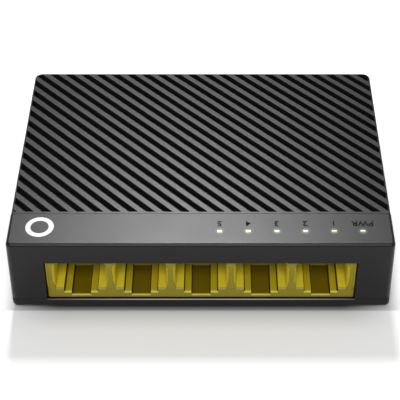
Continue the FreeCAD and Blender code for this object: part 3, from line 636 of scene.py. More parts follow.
def clear_guide(paint):
    """Clear acrylic, lit at the tips that come up through the band."""
    glow = colours().glow
    haze = paint.grain(1.5 * MM, 3)
    lit = paint.z.rise(COVER_HIGH.z - 0.6 * MM, COVER_HIGH.z - 0.15 * MM)
    # Painted shade: the front half of each lit tip is dimmed to a tenth.
    lit = lit * (0.1 + 0.9 * paint.y.rise(LIGHT_Y - 0.12 * MM, LIGHT_Y + 0.12 * MM))
    heart = from_row(paint, LIGHT_X[0], LIGHT_PITCH).rise(0.62 * MM, 0.2 * MM)
    pale = paint.blend(heart, glow, (0.95, 1.0, 0.72))
    unlit = paint.blend(haze, (0.5, 0.56, 0.4), (0.6, 0.66, 0.5))
    paint.set(
        {
            "Base Color": paint.blend(lit, (0.16, 0.22, 0.08), unlit),
            "Roughness": 0.16 + haze * 0.15,
            "Emission Color": paint.blend(lit, (0, 0, 0), pale),
            "Emission Strength": 0.5,
            "Coat Weight": 0.2,
        }
    )
    paint.relief(haze, 0.01 * MM)


def board_green(paint):
    """Solder resist over copper: slanted and straight runs, round vias, a dull glass edge."""
    tone = colours().board
    pitch = 1.27 * MM
    cells = paint.node(
        "ShaderNodeTexVoronoi",
        {"distance": "CHEBYCHEV", "feature": "F1"},
        {"Vector": paint.place, "Scale": 1 / (7 * MM), "Randomness": 0.9},
        "Color",
    )
    split = paint.node("ShaderNodeSeparateColor", {}, {0: cells})
    run_x = (paint.x % pitch).rise(0.22 * MM, 0.3 * MM)
    run_y = (paint.y % pitch).rise(0.22 * MM, 0.3 * MM)
    slant = ((paint.x + paint.y) % (pitch * 1.2)).rise(0.26 * MM, 0.34 * MM)
    pick_y = split > 0.6
    runs = run_x * (1 - pick_y) + run_y * pick_y
    pick_slant = split < 0.25
    runs = runs * (1 - pick_slant) + slant * pick_slant
    copper = 1 - runs
    vias = paint.node(
        "ShaderNodeTexVoronoi",
        {"feature": "F1"},
        {"Vector": paint.place, "Scale": 1 / (4.2 * MM), "Randomness": 1.0},
    )
    via = vias.rise(0.11, 0.08)
    weave = paint.grain(0.4 * MM)
    base = paint.blend(copper, shaded(tone, 0.7), shaded(tone, 1.5))
    base = paint.blend(via, base, (0.5, 0.42, 0.2))
    edge = (paint.z > BOARD_HIGH.z - 0.05 * MM) | (paint.z < BOARD_LOW.z + 0.05 * MM)
    paint.set(
        {
            "Base Color": paint.blend(edge, (0.24, 0.25, 0.1), base),
            "Roughness": 0.3 + (weave - 0.5) * 0.1 + (1 - edge) * 0.4,
            "Metallic": via * edge,
        }
    )
    paint.relief(copper + via * 0.5 + weave * 0.15, 0.03 * MM)


def package(paint, leads, tone=(0.012, 0.012, 0.014), rough=0.5):
    """Moulded epoxy with tinned leads where the mask says."""
    fine, clouds = paint.grain(0.1 * MM), paint.grain(3 * MM, 3)
    body = paint.blend(clouds, shaded(tone, 0.8), shaded(tone, 1.4))
    paint.set(
        {
            "Base Color": paint.blend(leads, body, (0.6, 0.6, 0.58)),
            "Roughness": (rough + (fine - 0.5) * 0.2) * (1 - leads) + leads * 0.3,
            "Metallic": leads,
        }
    )
    paint.relief(fine, 0.01 * MM)


def outside(paint, node, half_w, half_d):
    """1 outside a package's body in plan, where its leads are."""
    centre = middle(node)
    return (abs(paint.x - centre.x) > half_w) | (abs(paint.y - centre.y) > half_d)


def chip_black(paint):
    """The controller's and the regulator's black packages."""
    chip = outside(paint, "switch_chip", 7.02 * MM, 7.02 * MM)
    regulator = outside(paint, "regulator_chip", 2.5 * MM, 1.97 * MM)
    package(paint, chip * regulator)


def transformer_black(paint):
    leads = from_row(paint, 0, PORT_PITCH) > 3.56 * MM
    package(paint, leads, (0.014, 0.014, 0.015), 0.42)


def ferrite_grey(paint):
    ends = abs(paint.x - middle("power_inductor").x) > 1.8 * MM
    package(paint, ends * (paint.z < BOARD_HIGH.z + 0.2 * MM), (0.06, 0.06, 0.065), 0.6)


def capacitor_can(paint):
    """Bare can top over a printed sleeve with a pale stripe down one side."""
    brushed = paint.grain(0.5 * MM, 3, (5, 5, 1))
    tops = stripes = 0
    for node in ("input_capacitor", "output_capacitor"):
        low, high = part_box(node)
        centre = (low + high) / 2
        radius = (high.x - low.x) / 2
        dx, dy = paint.x - centre.x, paint.y - centre.y
        away = (dx * dx + dy * dy) ** 0.5
        here = away < radius + 0.2 * MM
        tops = here * ((away < radius - 0.45 * MM) * (paint.z > high.z - 0.6 * MM)) + tops
        stripes = here * (dx < -radius * 0.8) + stripes
    sleeve = paint.blend(stripes, (0.012, 0.013, 0.02), (0.62, 0.63, 0.62))
    paint.set(
        {
            "Base Color": paint.blend(tops, sleeve, (0.72, 0.72, 0.73)),
            "Roughness": 0.38 + (brushed - 0.5) * 0.2,
            "Metallic": tops,
        }
    )
    paint.relief(brushed, 0.006 * MM)


def ceramic_tan(paint):
    caps = paint.z > BOARD_HIGH.z + 0.78 * MM
    package(paint, caps, (0.33, 0.22, 0.12), 0.45)


def resistor_black(paint):
    caps = paint.z > BOARD_HIGH.z + 0.43 * MM
    package(paint, caps, (0.015, 0.015, 0.016), 0.4)


def led_body(paint):
    """Pale package, metal ends and a lit middle."""
    away = from_row(paint, LIGHT_X[0], LIGHT_PITCH)
    fine = paint.grain(0.2 * MM)
    ends = away > 0.61 * MM
    lit = away.rise(0.4 * MM, 0.1 * MM)
    paint.set(
        {
            "Base Color": paint.blend(ends, (0.75, 0.76, 0.7), (0.62, 0.62, 0.6)),
            "Roughness": 0.35 + (fine - 0.5) * 0.2,
            "Metallic": ends,
            "Emission Color": paint.blend(lit, (0, 0, 0), colours().glow),
            "Emission Strength": 0.6,
        }
    )


def inlet_black(paint):
    moulded(paint, (0.012, 0.012, 0.012), 0.36, 0.008 * MM)


def foot_rubber(paint):
    moulded(paint, (0.02, 0.02, 0.021), 0.8, 0.05 * MM, 0.3)


def ink(paint, tone):
    """Pad-printed ink: slightly broken edges of gloss."""
    specks = paint.grain(0.09 * MM)
    paint.set(
        {
            "Base Color": paint.blend(specks, shaded(tone, 0.8), shaded(tone, 1.1)),
            "Roughness": 0.7 + (specks - 0.5) * 0.3,
            "Specular IOR Level": 0.04,
        }
    )
    paint.relief(specks, 0.004 * MM)


def label_ink(paint):
    ink(paint, colours().ink)


def mark_ink(paint):
    ink(paint, colours().mark)


def pale_floor(paint):
    """A matt floor with the faintest clouding, and a painted shadow darkening it close round the case.
    """
    clouds = paint.grain(60 * MM, 3)
    tone = colours().floor
    # Painted shadow: darkest just in front of the case and along its sides, fading out within about ten
    # millimetres.
    ahead = COVER_LOW.y - paint.y
    painted_front_shadow = ahead.rise(1.0 * MM, -2.0 * MM) * 0.6 + ahead.rise(7.5 * MM, -2.0 * MM) * 0.34
    beside = abs(paint.x) - COVER_HIGH.x
    painted_front_shadow = painted_front_shadow * beside.rise(3 * MM, -12 * MM) * (ahead > -8 * MM)
    painted_side_shadow = beside.rise(9 * MM, -2 * MM) * 0.35 * (paint.y > COVER_LOW.y) * (paint.y < 0.03)
    base = paint.blend(clouds, shaded(tone, 0.99), tone)
    base = paint.blend(painted_side_shadow, base, (0.01, 0.01, 0.01))
    paint.set(
        {
            "Base Color": paint.blend(painted_front_shadow, base, (0.01, 0.01, 0.01)),
            "Roughness": 0.9,
            "Specular IOR Level": 0.1,
        }
    )


FINISHES = (
    case_black, tray_black, jack_yellow, contact_gold, contact_nickel, screw_steel, crystal_can,
    clear_guide, board_green, chip_black, transformer_black, ferrite_grey, capacitor_can,
    ceramic_tan, resistor_black, led_body, inlet_black, foot_rubber, label_ink, mark_ink, pale_floor,
)


def material(name):
    """The named finish, made at its first use."""
    made = bpy.data.materials.get(name)
    if made is None or not made.get("finish_made"):
        paint = Paint(name)
        next(f for f in FINISHES if f.__name__ == name)(paint)
        made = paint.material
        made["finish_made"] = True
    return made


# ---------------------------------------------------------------- stage


SOFTBOXES = {
    "softbox_back": {"place": (-0.022, 0.545, 0.72), "size": (0.12, 0.17), "power": 6.6},
    "softbox_front": {"place": (-0.02, -0.78, 0.93), "size": (0.5, 0.4), "power": 9.4},
}
WORLD_LIGHT = 0.36
CAMERA_PLACE = (0.0031, -0.2397, 0.2216)
CAMERA_DIP = math.radians(42)
CAMERA_LENS = 112.5
CAMERA_SHIFT = -0.035


class SWITCH_OT_stage(bpy.types.Operator):
    """Add the floor, the soft lights, the world and the camera"""

    bl_idname = "switch.stage"
    bl_label = "Stage"

    def execute(self, context):
        deselect_all()
        bpy.ops.mesh.primitive_grid_add(x_subdivisions=8, y_subdivisions=8, size=6)
        floor = settle("floor")
        floor.data.materials.append(material("pale_floor"))
        for name, values in SOFTBOXES.items():
            softbox(name, **values)
        world = bpy.data.worlds.new("soft_world")
        world.use_nodes = True
        background = world.node_tree.nodes["Background"]
        background.inputs["Color"].default_value = (1, 1, 1, 1)
        background.inputs["Strength"].default_value = WORLD_LIGHT
        context.scene.world = world
        context.scene.view_settings.view_transform = "Standard"
        deselect_all()
        bpy.ops.object.camera_add(location=CAMERA_PLACE, rotation=(math.pi / 2 - CAMERA_DIP, 0, 0))
        camera = bpy.context.active_object
        camera.name = "view_camera"
        camera.data.sensor_width = 36
        camera.data.lens = CAMERA_LENS
        camera.data.shift_x = CAMERA_SHIFT
        camera.data.dof.use_dof = False
        camera.data.clip_start = 0.01
        context.scene.camera = camera
        return {"FINISHED"}


def softbox(name, place, size, power):
    """A rectangular soft light that faces the case."""
    deselect_all()
    bpy.ops.object.light_add(type="AREA", location=place)
    light = bpy.context.active_object
    light.name = name
    light.data.shape = "RECTANGLE"
    light.data.size, light.data.size_y = size
    light.data.energy = power
    light.rotation_euler = (-Vector(place)).to_track_quat("-Z", "Y").to_euler()


# ---------------------------------------------------------------- pieces


def rounded_block(low, high, corner, back_corner=None, name="tool"):
    """A block with its upright edges rounded; the back ones may have their own radius, or stay sharp."""
    obj = block(low, high, name)
    middle_y = (low[1] + high[1]) / 2
    round_edges(obj, lambda e: upright(e) and e.verts[0].co.y < middle_y, corner)
    if back_corner != 0:
        round_edges(
            obj, lambda e: upright(e) and e.verts[0].co.y > middle_y, back_corner or corner
        )
    return obj


def lean(obj, half_w, half_d):
    """Draws the upper vertices in by the draft."""
    draft = sizes().draft
    high = max(v.co.z for v in obj.data.vertices)
    factor = ((half_w - draft) / half_w, (half_d - 0.8 * draft) / half_d, 1)
    squeeze(obj, lambda v: near(v.co.z, high), factor, (0, 0, high))


def groove_bar(reach):
    """One groove as a long bar whose sides flare at the top to round the ribs."""
    size = sizes()
    half = size.groove_width / 2
    soft = size.rib_round
    tool = block((-reach, -half, -size.groove_depth), (reach, half, 0.4 * MM))
    slice_level(tool, (-soft, -0.35 * soft, 0.0))
    flares = ((-size.groove_depth, size.groove_floor / 2), (-0.35 * soft, half + 0.3 * soft))
    for z, width in flares:
        squeeze(tool, lambda v, z=z: near(v.co.z, z), (1, width / half, 1))
    squeeze(tool, lambda v: v.co.z > -0.001 * MM, (1, (half + soft) / half, 1))
    return tool


def groove_field(top):
    """All the grooves, kept inside the field's rim."""
    size = sizes()
    reach = 75 * MM
    first = groove_bar(reach)
    count = int(reach / size.groove_pitch)
    shifts = [i * size.groove_pitch + size.groove_shift for i in range(-count, count + 1)]
    grooves = joined([copy_at(first, (0, y, 0)) for y in shifts])
    bpy.data.objects.remove(first)
    activate(grooves)
    grooves.rotation_euler.z = size.groove_turn
    grooves.location.z = top
    bpy.ops.object.transform_apply(location=True, rotation=True, scale=True)
    inset = size.draft + size.field_rim + SIDE_INSET
    inside = rounded_block(
        (COVER_LOW.x + inset, field_front() + size.front_rim, top - 2 * MM),
        (COVER_HIGH.x - inset, COVER_HIGH.y - size.field_rim - 0.2 * MM, top + 1 * MM),
        0.4 * MM,
        size.back_corner - size.field_rim,
    )
    soft = size.rib_round
    slice_level(inside, (top - soft, top))
    wider, deeper = (COVER_HIGH.x - inset + soft) / (COVER_HIGH.x - inset), 1.003
    squeeze(inside, lambda v: v.co.z > top - 0.001 * MM, (wider, deeper, 1), (0, 0, top))
    combine(grooves, inside, "INTERSECT")
    return grooves


def field_front():
    return COVER_LOW.y + sizes().band_depth


class SWITCH_OT_cover(bpy.types.Operator):
    """Model the cover: ribbed field, smooth band, socket window, inlet hole and window slots"""

    bl_idname = "switch.cover"
    bl_label = "Cover"

    def execute(self, context):
        size = sizes()
        half_w, half_d, low = COVER_HIGH.x, COVER_HIGH.y, COVER_LOW.z
        band_top = COVER_HIGH.z - INK_T
        field_top = COVER_HIGH.z - size.field_drop
        body = rounded_block(
            (SIDE_INSET - half_w, 8 * MM - half_d, low), (half_w - SIDE_INSET, half_d, field_top),
            size.front_corner, size.back_corner, "cover",
        )
        lean(body, half_w, half_d)
        round_edges(body, lambda e: level(e, field_top), size.back_edge, 4)
        band = rounded_block(
            (-half_w, -half_d, low), (half_w, field_front(), band_top), size.front_corner, 0
        )
        lean(band, half_w, half_d)
        back_line = max(v.co.y for v in band.data.vertices if v.co.z > low + MM)
        shift(band, lambda v: near(v.co.y, back_line), (0, field_front() - back_line, 0))
        round_edges(
            band,
            lambda e: level(e, band_top) and min(v.co.y for v in e.verts) < field_front() - 0.1 * MM,
            size.band_edge,
            7,
        )
        combine(body, band, "UNION")
        wall = size.wall
        ceiling = COVER_HIGH.z - ROOF_T
        hollow = rounded_block(
            (wall - half_w, wall - half_d, low - MM), (half_w - wall, half_d - wall, ceiling), 0.8 * MM
        )
        combine(body, hollow)
        for x, y in SCREWS:
            combine(body, bar((x, y, 0), BOSS_R, low + 0.9 * MM, ceiling + 0.2 * MM), "UNION")
            combine(body, bar((x, y, 0), PILOT_R, low, PILOT_HIGH_Z, sides=20))
        window = block(
            (-WINDOW_HALF_W, -half_d - MM, 0),
            (WINDOW_HALF_W, wall - half_d + 0.8 * MM, WINDOW_TOP_Z),
        )
        combine(body, window)
        inlet = bar((0, INLET_Y, INLET_Z), PLUG_HOLE_R, half_w - 4 * MM, half_w + MM, "X", 48)
        combine(body, inlet)
        for x in LIGHT_X:
            low_end, high_end = (Vector((x, LIGHT_Y, z)) for z in (ceiling - MM, COVER_HIGH.z + MM))
            combine(body, block(low_end - LIGHT_SLOT, high_end + LIGHT_SLOT))
        parting = block(
            (-half_w - MM, field_front(), field_top - 0.4 * MM),
            (half_w + MM, field_front() + PARTING_W, COVER_HIGH.z + MM),
        )
        combine(body, parting)
        combine(body, groove_field(field_top))
        clean(body)
        shade(body)
        give(body, "case_black", ["top_cover"])
        return {"FINISHED"}


class SWITCH_OT_tray(bpy.types.Operator):
    """Model the bottom tray: rim, sill, posts, screw wells, foot seats and vents"""

    bl_idname = "switch.tray"
    bl_label = "Tray"

    def execute(self, context):
        size = sizes()
        half_w, half_d = TRAY_HIGH.x, TRAY_HIGH.y
        low, rim = TRAY_LOW.z, TRAY_RIM_Z
        tray = rounded_block(
            (-half_w, -half_d, low), (half_w, half_d, rim), size.front_corner, size.back_corner, "tray"
        )
        round_edges(tray, lambda e: level(e, low), 0.8 * MM, 5)
        round_edges(tray, lambda e: level(e, rim), 0.25 * MM, 3)
        floor_z, above = 3 * MM, 9 * MM
        well_w, well_d = half_w - 2.6 * MM, half_d - 2.6 * MM
        well = rounded_block((-well_w, -well_d, floor_z), (well_w, well_d, above), 0.6 * MM)
        combine(tray, well)
        lip_gap, lip_t = 0.15 * MM, 0.9 * MM
        lip_w, lip_d = half_w - size.wall - lip_gap, half_d - size.wall - lip_gap
        root_z = floor_z - 0.5 * MM
        lip = rounded_block((-lip_w, -lip_d, root_z), (lip_w, lip_d, 5.3 * MM), 0.7 * MM)
        hole = rounded_block(
            (lip_t - lip_w, lip_t - lip_d, 2 * MM), (lip_w - lip_t, lip_d - lip_t, 6 * MM), 0.4 * MM
        )
        combine(lip, hole)
        gap_half_w = WINDOW_HALF_W + 0.4 * MM
        combine(lip, block((-gap_half_w, -40 * MM, root_z + lip_gap), (gap_half_w, 0, above)))
        combine(tray, lip, "UNION")
        sill = block(
            (-WINDOW_HALF_W, 0.6 * MM - half_d, root_z), (WINDOW_HALF_W, 2.8 * MM - half_d, rim)
        )
        combine(tray, sill, "UNION")
        post_r, shank_hole_r, head_well_r = 3.1 * MM, 1.45 * MM, 2.6 * MM
        for x, y in SCREWS:
            post = bar((x, y, 0), post_r, low + 0.1 * MM, 4.7 * MM)
            room = block((-lip_w, -lip_d, low), (lip_w, lip_d, above))
            combine(post, room, "INTERSECT")
            combine(tray, post, "UNION")
            combine(tray, bar((x, y, 0), shank_hole_r, 0, above, sides=24))
            combine(tray, bar((x, y, 0), head_well_r, 0, SCREW_HEAD_HIGH_Z + 0.02 * MM, sides=40))
        board_post_r = 2.6 * MM
        for x in (-38 * MM, 38 * MM):
            for y in (-8 * MM, 21 * MM):
                combine(tray, bar((x, y, 0), board_post_r, root_z, BOARD_LOW.z), "UNION")
        foot_seat_r = 4.15 * MM
        for centre in FEET.values():
            combine(tray, bar(centre, foot_seat_r, 0, low + 0.3 * MM, sides=48))
        slot_r, slot_half, slot_pitch = 0.75 * MM, 5.5 * MM, 3.6 * MM
        end_r = slot_r - 0.001 * MM
        slot = rounded_block((-slot_r, -slot_half, 0), (slot_r, slot_half, 5 * MM), end_r)
        places = [(i * slot_pitch, y, 0) for y in (-9 * MM, 8 * MM) for i in range(-5, 6)]
        slots = joined([copy_at(slot, place) for place in places])
        bpy.data.objects.remove(slot)
        combine(tray, slots)
        clean(tray)
        shade(tray)
        give(tray, "tray_black", ["bottom_tray"])
        return {"FINISHED"}


def socket_tool():
    """What one socket's mouth, steps and latch notch take out of the block."""
    front = JACK_LOW.y
    out = front - 1 * MM
    levels = (
        (MOUTH_HALF_W, MOUTH_LOW_Z, MOUTH_HIGH_Z, MOUTH_DEPTH, 0.4 * MM),
        (STEP_HALF_W, STEP_LOW_Z, LATCH_HIGH_Z, LATCH_DEPTH, 0.4 * MM),
        (NOTCH_HALF_W, NOTCH_LOW_Z, LATCH_HIGH_Z, LATCH_DEPTH, 0.3 * MM),
    )
    rooms, ramps = [], []
    for half, low, high, depth, soft in levels:
        rooms.append(block((-half, out, low), (half, front + depth, high)))
        drop = MM + soft
        ramp = block((-half, out, low - drop), (half, front + soft, low + 0.1 * MM))
        shift(ramp, lambda v, low=low: v.co.y > front and v.co.z < low, (0, 0, drop))
        ramps.append(ramp)
    half, brow_low = MOUTH_HALF_W, MOUTH_HIGH_Z + 0.3 * MM
    visor = block((-half, out, MOUTH_HIGH_Z - 0.5 * MM), (half, front + 2.2 * MM, BROW_Z + 0.1 * MM))
    slice_level(visor, (MOUTH_HIGH_Z,))
    shift(visor, lambda v: v.co.y > front and v.co.z > brow_low, (0, -2.2 * MM, 0))
    flare = block((-half, front - 0.3 * MM, MOUTH_LOW_Z), (half, front + 1.8 * MM, BROW_Z))
    slice_level(flare, (MOUTH_LOW_Z + 2.5 * MM, MOUTH_HIGH_Z - 0.4 * MM))
    squeeze(flare, lambda v: v.co.y < front and 9 * MM < v.co.z < brow_low, (FLARE, 1, 1))
    shift(flare, lambda v: v.co.y > front and v.co.z > brow_low, (0, -1.8 * MM, 0))
    whole = rooms[0]
    for tool in (*rooms[1:], *ramps, visor, flare):
        combine(whole, tool, "UNION")
    return whole


def wire_offset(i):
    """How far along X one wire of a socket stands from the socket's middle."""
    return (i - (len(WIRES) - 1) / 2) * WIRE_PITCH


def contact_slots():
    """Three cutters for all the sockets: the slots, the channels behind them and the tails' shafts."""
    kinds = ([], [], [])
    for socket_x in PORT_X.values():
        for i in WIRES:
            x, y = socket_x + wire_offset(i), TAIL_Y[i % 2]
            spans = (
                (-30.1 * MM, -20.4 * MM, 12 * MM),
                (-20.6 * MM, JACK_HIGH.y + MM, BROW_Z),
                (y - 0.312 * MM, y + 0.312 * MM, 5 * MM),
            )
            # Each cutter is a hair larger than the one before, so that no two faces coincide.
            for step, (near_y, far_y, low) in enumerate(spans):
                half, top = (0.31 + 0.001 * step) * MM, (16 + 0.001 * step) * MM
                kinds[step].append(block((x - half, near_y, low), (x + half, far_y, top)))
    return [joined(kind) for kind in kinds]


class SWITCH_OT_socket_block(bpy.types.Operator):
    """Model the five-gang socket block, with its stepped latch notches and contact slots"""

    bl_idname = "switch.socket_block"
    bl_label = "Socket block"

    def execute(self, context):
        low, high = JACK_LOW, JACK_HIGH
        obj = block((low.x, low.y, 4 * MM), high, "socket_block")
        wide = high.x + MM
        combine(obj, block((-wide, low.y - MM, BROW_Z), (wide, low.y + 1.75 * MM, high.z + MM)))
        combine(obj, block((-wide, -22.3 * MM, 0), (wide, high.y + MM, BOARD_HIGH.z + 0.02 * MM)))
        round_edges(obj, lambda e: upright(e) and near(e.verts[0].co.y, low.y), 0.7 * MM, 5)
        round_edges(obj, lambda e: level(e, BROW_Z) and near(e.verts[0].co.y, low.y), 0.15 * MM, 3)
        tool = socket_tool()
        for x in PORT_X.values():
            combine(obj, copy_at(tool, (x, 0, 0)))
        bpy.data.objects.remove(tool)
        for slots in contact_slots():
            combine(obj, slots)
        clean(obj)
        activate(obj)
        flat = obj.modifiers.new("flat", "DECIMATE")
        flat.decimate_type, flat.angle_limit = "DISSOLVE", math.radians(0.5)
        bpy.ops.object.modifier_apply(modifier=flat.name)
        round_edges(
            obj,
            lambda e: all(near(v.co.y, low.y) for v in e.verts) and e.calc_face_angle(0) > 0.3,
            0.08 * MM,
            2,
        )
        shade(obj)
        for x in (-1.5 * PORT_PITCH, 1.5 * PORT_PITCH):
            combine(obj, bar((x, -18.7 * MM, 0), 1.55 * MM, low.z, 6.3 * MM), "UNION")
        give(obj, "jack_yellow", ["jack_housing"])
        return {"FINISHED"}


def wire_start(x, y, z, normal):
    """The round end of a contact's wire, square to the way the wire runs."""
    deselect_all()
    turn = Vector(normal).to_track_quat("Z", "X").to_euler()
    bpy.ops.mesh.primitive_circle_add(
        vertices=12, radius=sizes().wire * 0.52, fill_type="NGON", location=(x, y, z), rotation=turn
    )
    return settle("wire")


def draw_on(obj, move):
    """Draws the wire on by extruding its end, which is still selected."""
    bpy.ops.mesh.extrude_region_move(TRANSFORM_OT_translate={"value": move})


class SWITCH_OT_contacts(bpy.types.Operator):
    """Model the sockets' wires: fixed leads, and the folded springs that ride on their own bodies"""

    bl_idname = "switch.contacts"
    bl_label = "Contacts"

    def execute(self, context):
        spring = wire_start(0, FOLD_Y, FOLD_Z + FOLD_R, (0, -1, 0))
        pick(spring, "FACE", lambda face: True)
        bpy.ops.mesh.spin(
            steps=12, angle=math.pi - SPRING_SLOPE, center=(0, FOLD_Y, FOLD_Z), axis=(1, 0, 0)
        )
        run, fall = SPRING_LENGTH * math.cos(SPRING_SLOPE), SPRING_LENGTH * math.sin(SPRING_SLOPE)
        draw_on(spring, (0, run, -fall))
        leave_edit()
        clean(spring)
        leads = []
        for y in TAIL_Y:
            lead = wire_start(0, y, 3.3 * MM, (0, 0, 1))
            pick(lead, "FACE", lambda face: True)
            draw_on(lead, (0, 0, 12.0 * MM))
            bend_y = y - 0.4 * MM
            bpy.ops.mesh.spin(
                steps=6, angle=-math.pi / 2, center=(0, bend_y, 15.3 * MM), axis=(1, 0, 0)
            )
            draw_on(lead, (0, FOLD_Y + FOLD_GAP - bend_y, 0))
            leave_edit()
            clean(lead)
            leads.append(lead)
        for n, x in PORT_X.items():
            for kind, shapes, body in (
                ("leads", leads, MAIN_BODY),
                ("springs", [spring, spring], f"port_{n}_springs"),
            ):
                group = joined([copy_at(shapes[i % 2], (x + wire_offset(i), 0, 0)) for i in WIRES])
                group.name = f"contact_{kind}_{n}"
                shade(group)
                give(group, "contact_gold", [f"port_{n}_contact_{kind}"], body)
        for obj in [spring, *leads]:
            bpy.data.objects.remove(obj)
        return {"FINISHED"}


def make_foot(name, centre):
    """One soft foot, with a rounded rim and a shallow dish under it."""
    low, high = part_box(name)
    soft_name = name.replace("rubber_", "soft_")
    foot = bar(centre, (high.x - low.x) / 2, low.z, high.z, sides=56, name=soft_name)
    round_edges(foot, lambda e: level(e, low.z), 0.5 * MM, 5)
    pick(foot, "FACE", lambda f: f.normal.z < -0.99)
    bpy.ops.mesh.inset(thickness=0.6 * MM)
    bpy.ops.mesh.inset(thickness=0.25 * MM)
    bpy.ops.transform.translate(value=(0, 0, 0.12 * MM))
    leave_edit()
    shade(foot)
    give(foot, "foot_rubber", [name])


def make_screws():
    """The four case screws: domed heads with tapered cross recesses, and plain shanks."""
    screw = bar((0, 0, 0), 2.35 * MM, SCREW_HEAD_LOW_Z, SCREW_HEAD_HIGH_Z, sides=48)
    round_edges(screw, lambda e: level(e, SCREW_HEAD_LOW_Z), 0.65 * MM, 6)
    arm, thick = 1.3 * MM, 0.27 * MM
    recess_low_z, recess_high_z = 1 * MM, 2.7 * MM
    cross = block((-arm, -thick, recess_low_z), (arm, thick, recess_high_z))
    other = block((-thick, -arm, recess_low_z), (thick, arm, recess_high_z))
    combine(cross, other, "UNION")
    squeeze(cross, lambda v: near(v.co.z, recess_high_z), (0.7, 0.7, 1))
    combine(screw, cross)
    shank = bar((0, 0, 0), 1.25 * MM, SCREW_HEAD_HIGH_Z - 0.1 * MM, SCREW_TIP_Z, sides=24)
    squeeze(shank, lambda v: near(v.co.z, SCREW_TIP_Z), (0.3, 0.3, 1))
    combine(screw, shank, "UNION")
    clean(screw)
    group = joined([copy_at(screw, (x, y, 0)) for x, y in SCREWS])
    bpy.data.objects.remove(screw)
    group.name = "tray_screws"
    shade(group)
    give(group, "screw_steel", ["case_screws"])


def make_inlet():
    """The power inlet's housing: a bore with a widened mouth, a pin hole and a slot underneath."""
    housing = block(INLET_LOW, INLET_HIGH, "inlet_housing")
    round_edges(housing, lambda e: level(e, INLET_HIGH.z), 0.6 * MM, 4)
    centre, end = (0, INLET_Y, INLET_Z), INLET_HIGH.x
    bore_r, mouth_r, pin_hole_r = 3.15 * MM, 3.75 * MM, 0.82 * MM
    bore_end = end - 9.5 * MM
    bore = bar(centre, bore_r, bore_end, end + MM, "X", 48)
    mouth = bar(centre, bore_r, end - 0.5 * MM, end + 0.1 * MM, "X", 48)
    squeeze(mouth, lambda v: v.co.x > end, (1, mouth_r / bore_r, mouth_r / bore_r), centre)
    combine(housing, mouth)
    combine(housing, bore)
    combine(housing, bar(centre, pin_hole_r, INLET_LOW.x - MM, bore_end + 0.5 * MM, "X", 24))
    slot_low = (INLET_LOW.x + 4 * MM, INLET_Y - 1.1 * MM, 0)
    combine(housing, block(slot_low, (end - 1.2 * MM, INLET_Y + 1.1 * MM, INLET_Z)))
    clean(housing)
    soften(housing, 0.1 * MM)
    shade(housing)
    give(housing, "inlet_black", ["dc_inlet_body"])


class SWITCH_OT_fittings(bpy.types.Operator):
    """Model the rubber feet, the case screws and the power inlet's housing"""

    bl_idname = "switch.fittings"
    bl_label = "Feet, screws and inlet"

    def execute(self, context):
        for name, centre in FEET.items():
            make_foot(name, centre)
        make_screws()
        make_inlet()
        return {"FINISHED"}


class SWITCH_OT_print(bpy.types.Operator):
    """Model the printed labels over the windows and the plain ring mark"""

    bl_idname = "switch.print"
    bl_label = "Print"

    def execute(self, context):
        low, high = COVER_HIGH.z - INK_T, COVER_HIGH.z
        for name, text, x in zip(LIGHT_NODES, ("PWR", "1", "2", "3", "4", "5"), LIGHT_X):
            deselect_all()
            bpy.ops.object.text_add(rotation=(0, 0, math.pi))
            label = bpy.context.active_object
            label.data.body = text
            label.data.align_x = "CENTER"
            label.data.align_y = "CENTER"
            label.data.size = sizes().digit / 0.7
            label.data.offset = 0.045 * MM
            label.data.extrude = INK_T / 2
            bpy.ops.object.convert(target="MESH")
            label = settle(name.replace("led", "label"))
            axes = list(zip(*(v.co for v in label.data.vertices)))
            centre = Vector([max(axis) + min(axis) for axis in axes]) / 2
            target = Vector((x, LIGHT_Y + 2.55 * MM, (low + high) / 2))
            shift(label, lambda v: True, target - centre)
            clean(label)
            give(label, "label_ink")
        ring = bar(MARK_PLACE, sizes().mark, low, high, sides=64, name="ring_mark")
        combine(ring, bar(MARK_PLACE, sizes().mark * 0.65, low - MM, high + MM, sides=64))
        give(ring, "mark_ink")
        return {"FINISHED"}


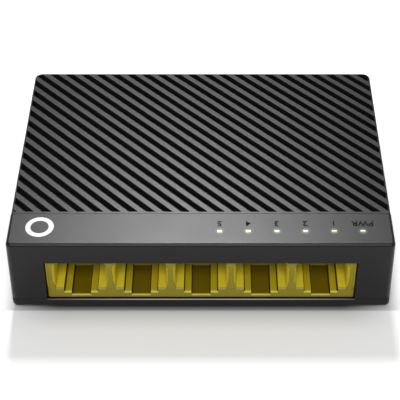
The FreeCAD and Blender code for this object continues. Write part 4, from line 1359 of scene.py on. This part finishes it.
NODE_FINISHES = {
    "board_screws": "screw_steel", "circuit_board": "board_green", "light_guide": "clear_guide",
    "switch_chip": "chip_black", "crystal": "crystal_can", "regulator_chip": "chip_black",
    "power_inductor": "ferrite_grey", "input_capacitor": "capacitor_can",
    "output_capacitor": "capacitor_can", "chip_capacitors": "ceramic_tan",
    "chip_resistors": "resistor_black", "dc_inlet_pin": "contact_nickel",
    "dc_inlet_sleeve_tail": "contact_nickel", "dc_inlet_spring": "contact_nickel",
    **{f"transformer_{n}": "transformer_black" for n in PORTS},
    **{name: "led_body" for name in LIGHT_NODES},
}


class SWITCH_OT_electronics(bpy.types.Operator):
    """Dress the board, its parts, the light guide and the inlet's metal, whose shapes are the frame's"""

    bl_idname = "switch.electronics"
    bl_label = "Electronics"

    def execute(self, context):
        for name, finish in NODE_FINISHES.items():
            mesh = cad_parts[name].data
            mesh.materials.clear()
            mesh.materials.append(material(finish))
        return {"FINISHED"}


OPERATORS = (
    SWITCH_OT_stage, SWITCH_OT_cover, SWITCH_OT_tray, SWITCH_OT_socket_block,
    SWITCH_OT_contacts, SWITCH_OT_fittings, SWITCH_OT_print, SWITCH_OT_electronics,
)


class SWITCH_PT_panel(bpy.types.Panel):
    """Lists the pieces' operators, sizes and colours"""

    bl_idname = "SWITCH_PT_panel"
    bl_label = "Network switch"
    bl_space_type = "VIEW_3D"
    bl_region_type = "UI"
    bl_category = "Switch"

    def draw(self, context):
        for operator in OPERATORS:
            self.layout.operator(operator.bl_idname)
        for group in (sizes(), colours()):
            column = self.layout.column()
            for name in group.__annotations__:
                column.prop(group, name)


CLASSES = (SwitchSizes, SwitchColours, *OPERATORS, SWITCH_PT_panel)


def register():
    for cls in CLASSES:
        bpy.utils.register_class(cls)
    bpy.types.Scene.switch_sizes = bpy.props.PointerProperty(type=SwitchSizes)
    bpy.types.Scene.switch_colours = bpy.props.PointerProperty(type=SwitchColours)


def unregister():
    del bpy.types.Scene.switch_colours
    del bpy.types.Scene.switch_sizes
    for cls in reversed(CLASSES):
        bpy.utils.unregister_class(cls)


def main():
    register()
    for operator in OPERATORS:
        group, name = operator.bl_idname.split(".")
        getattr(getattr(bpy.ops, group), name)()


if __name__ == "__main__":
    main()
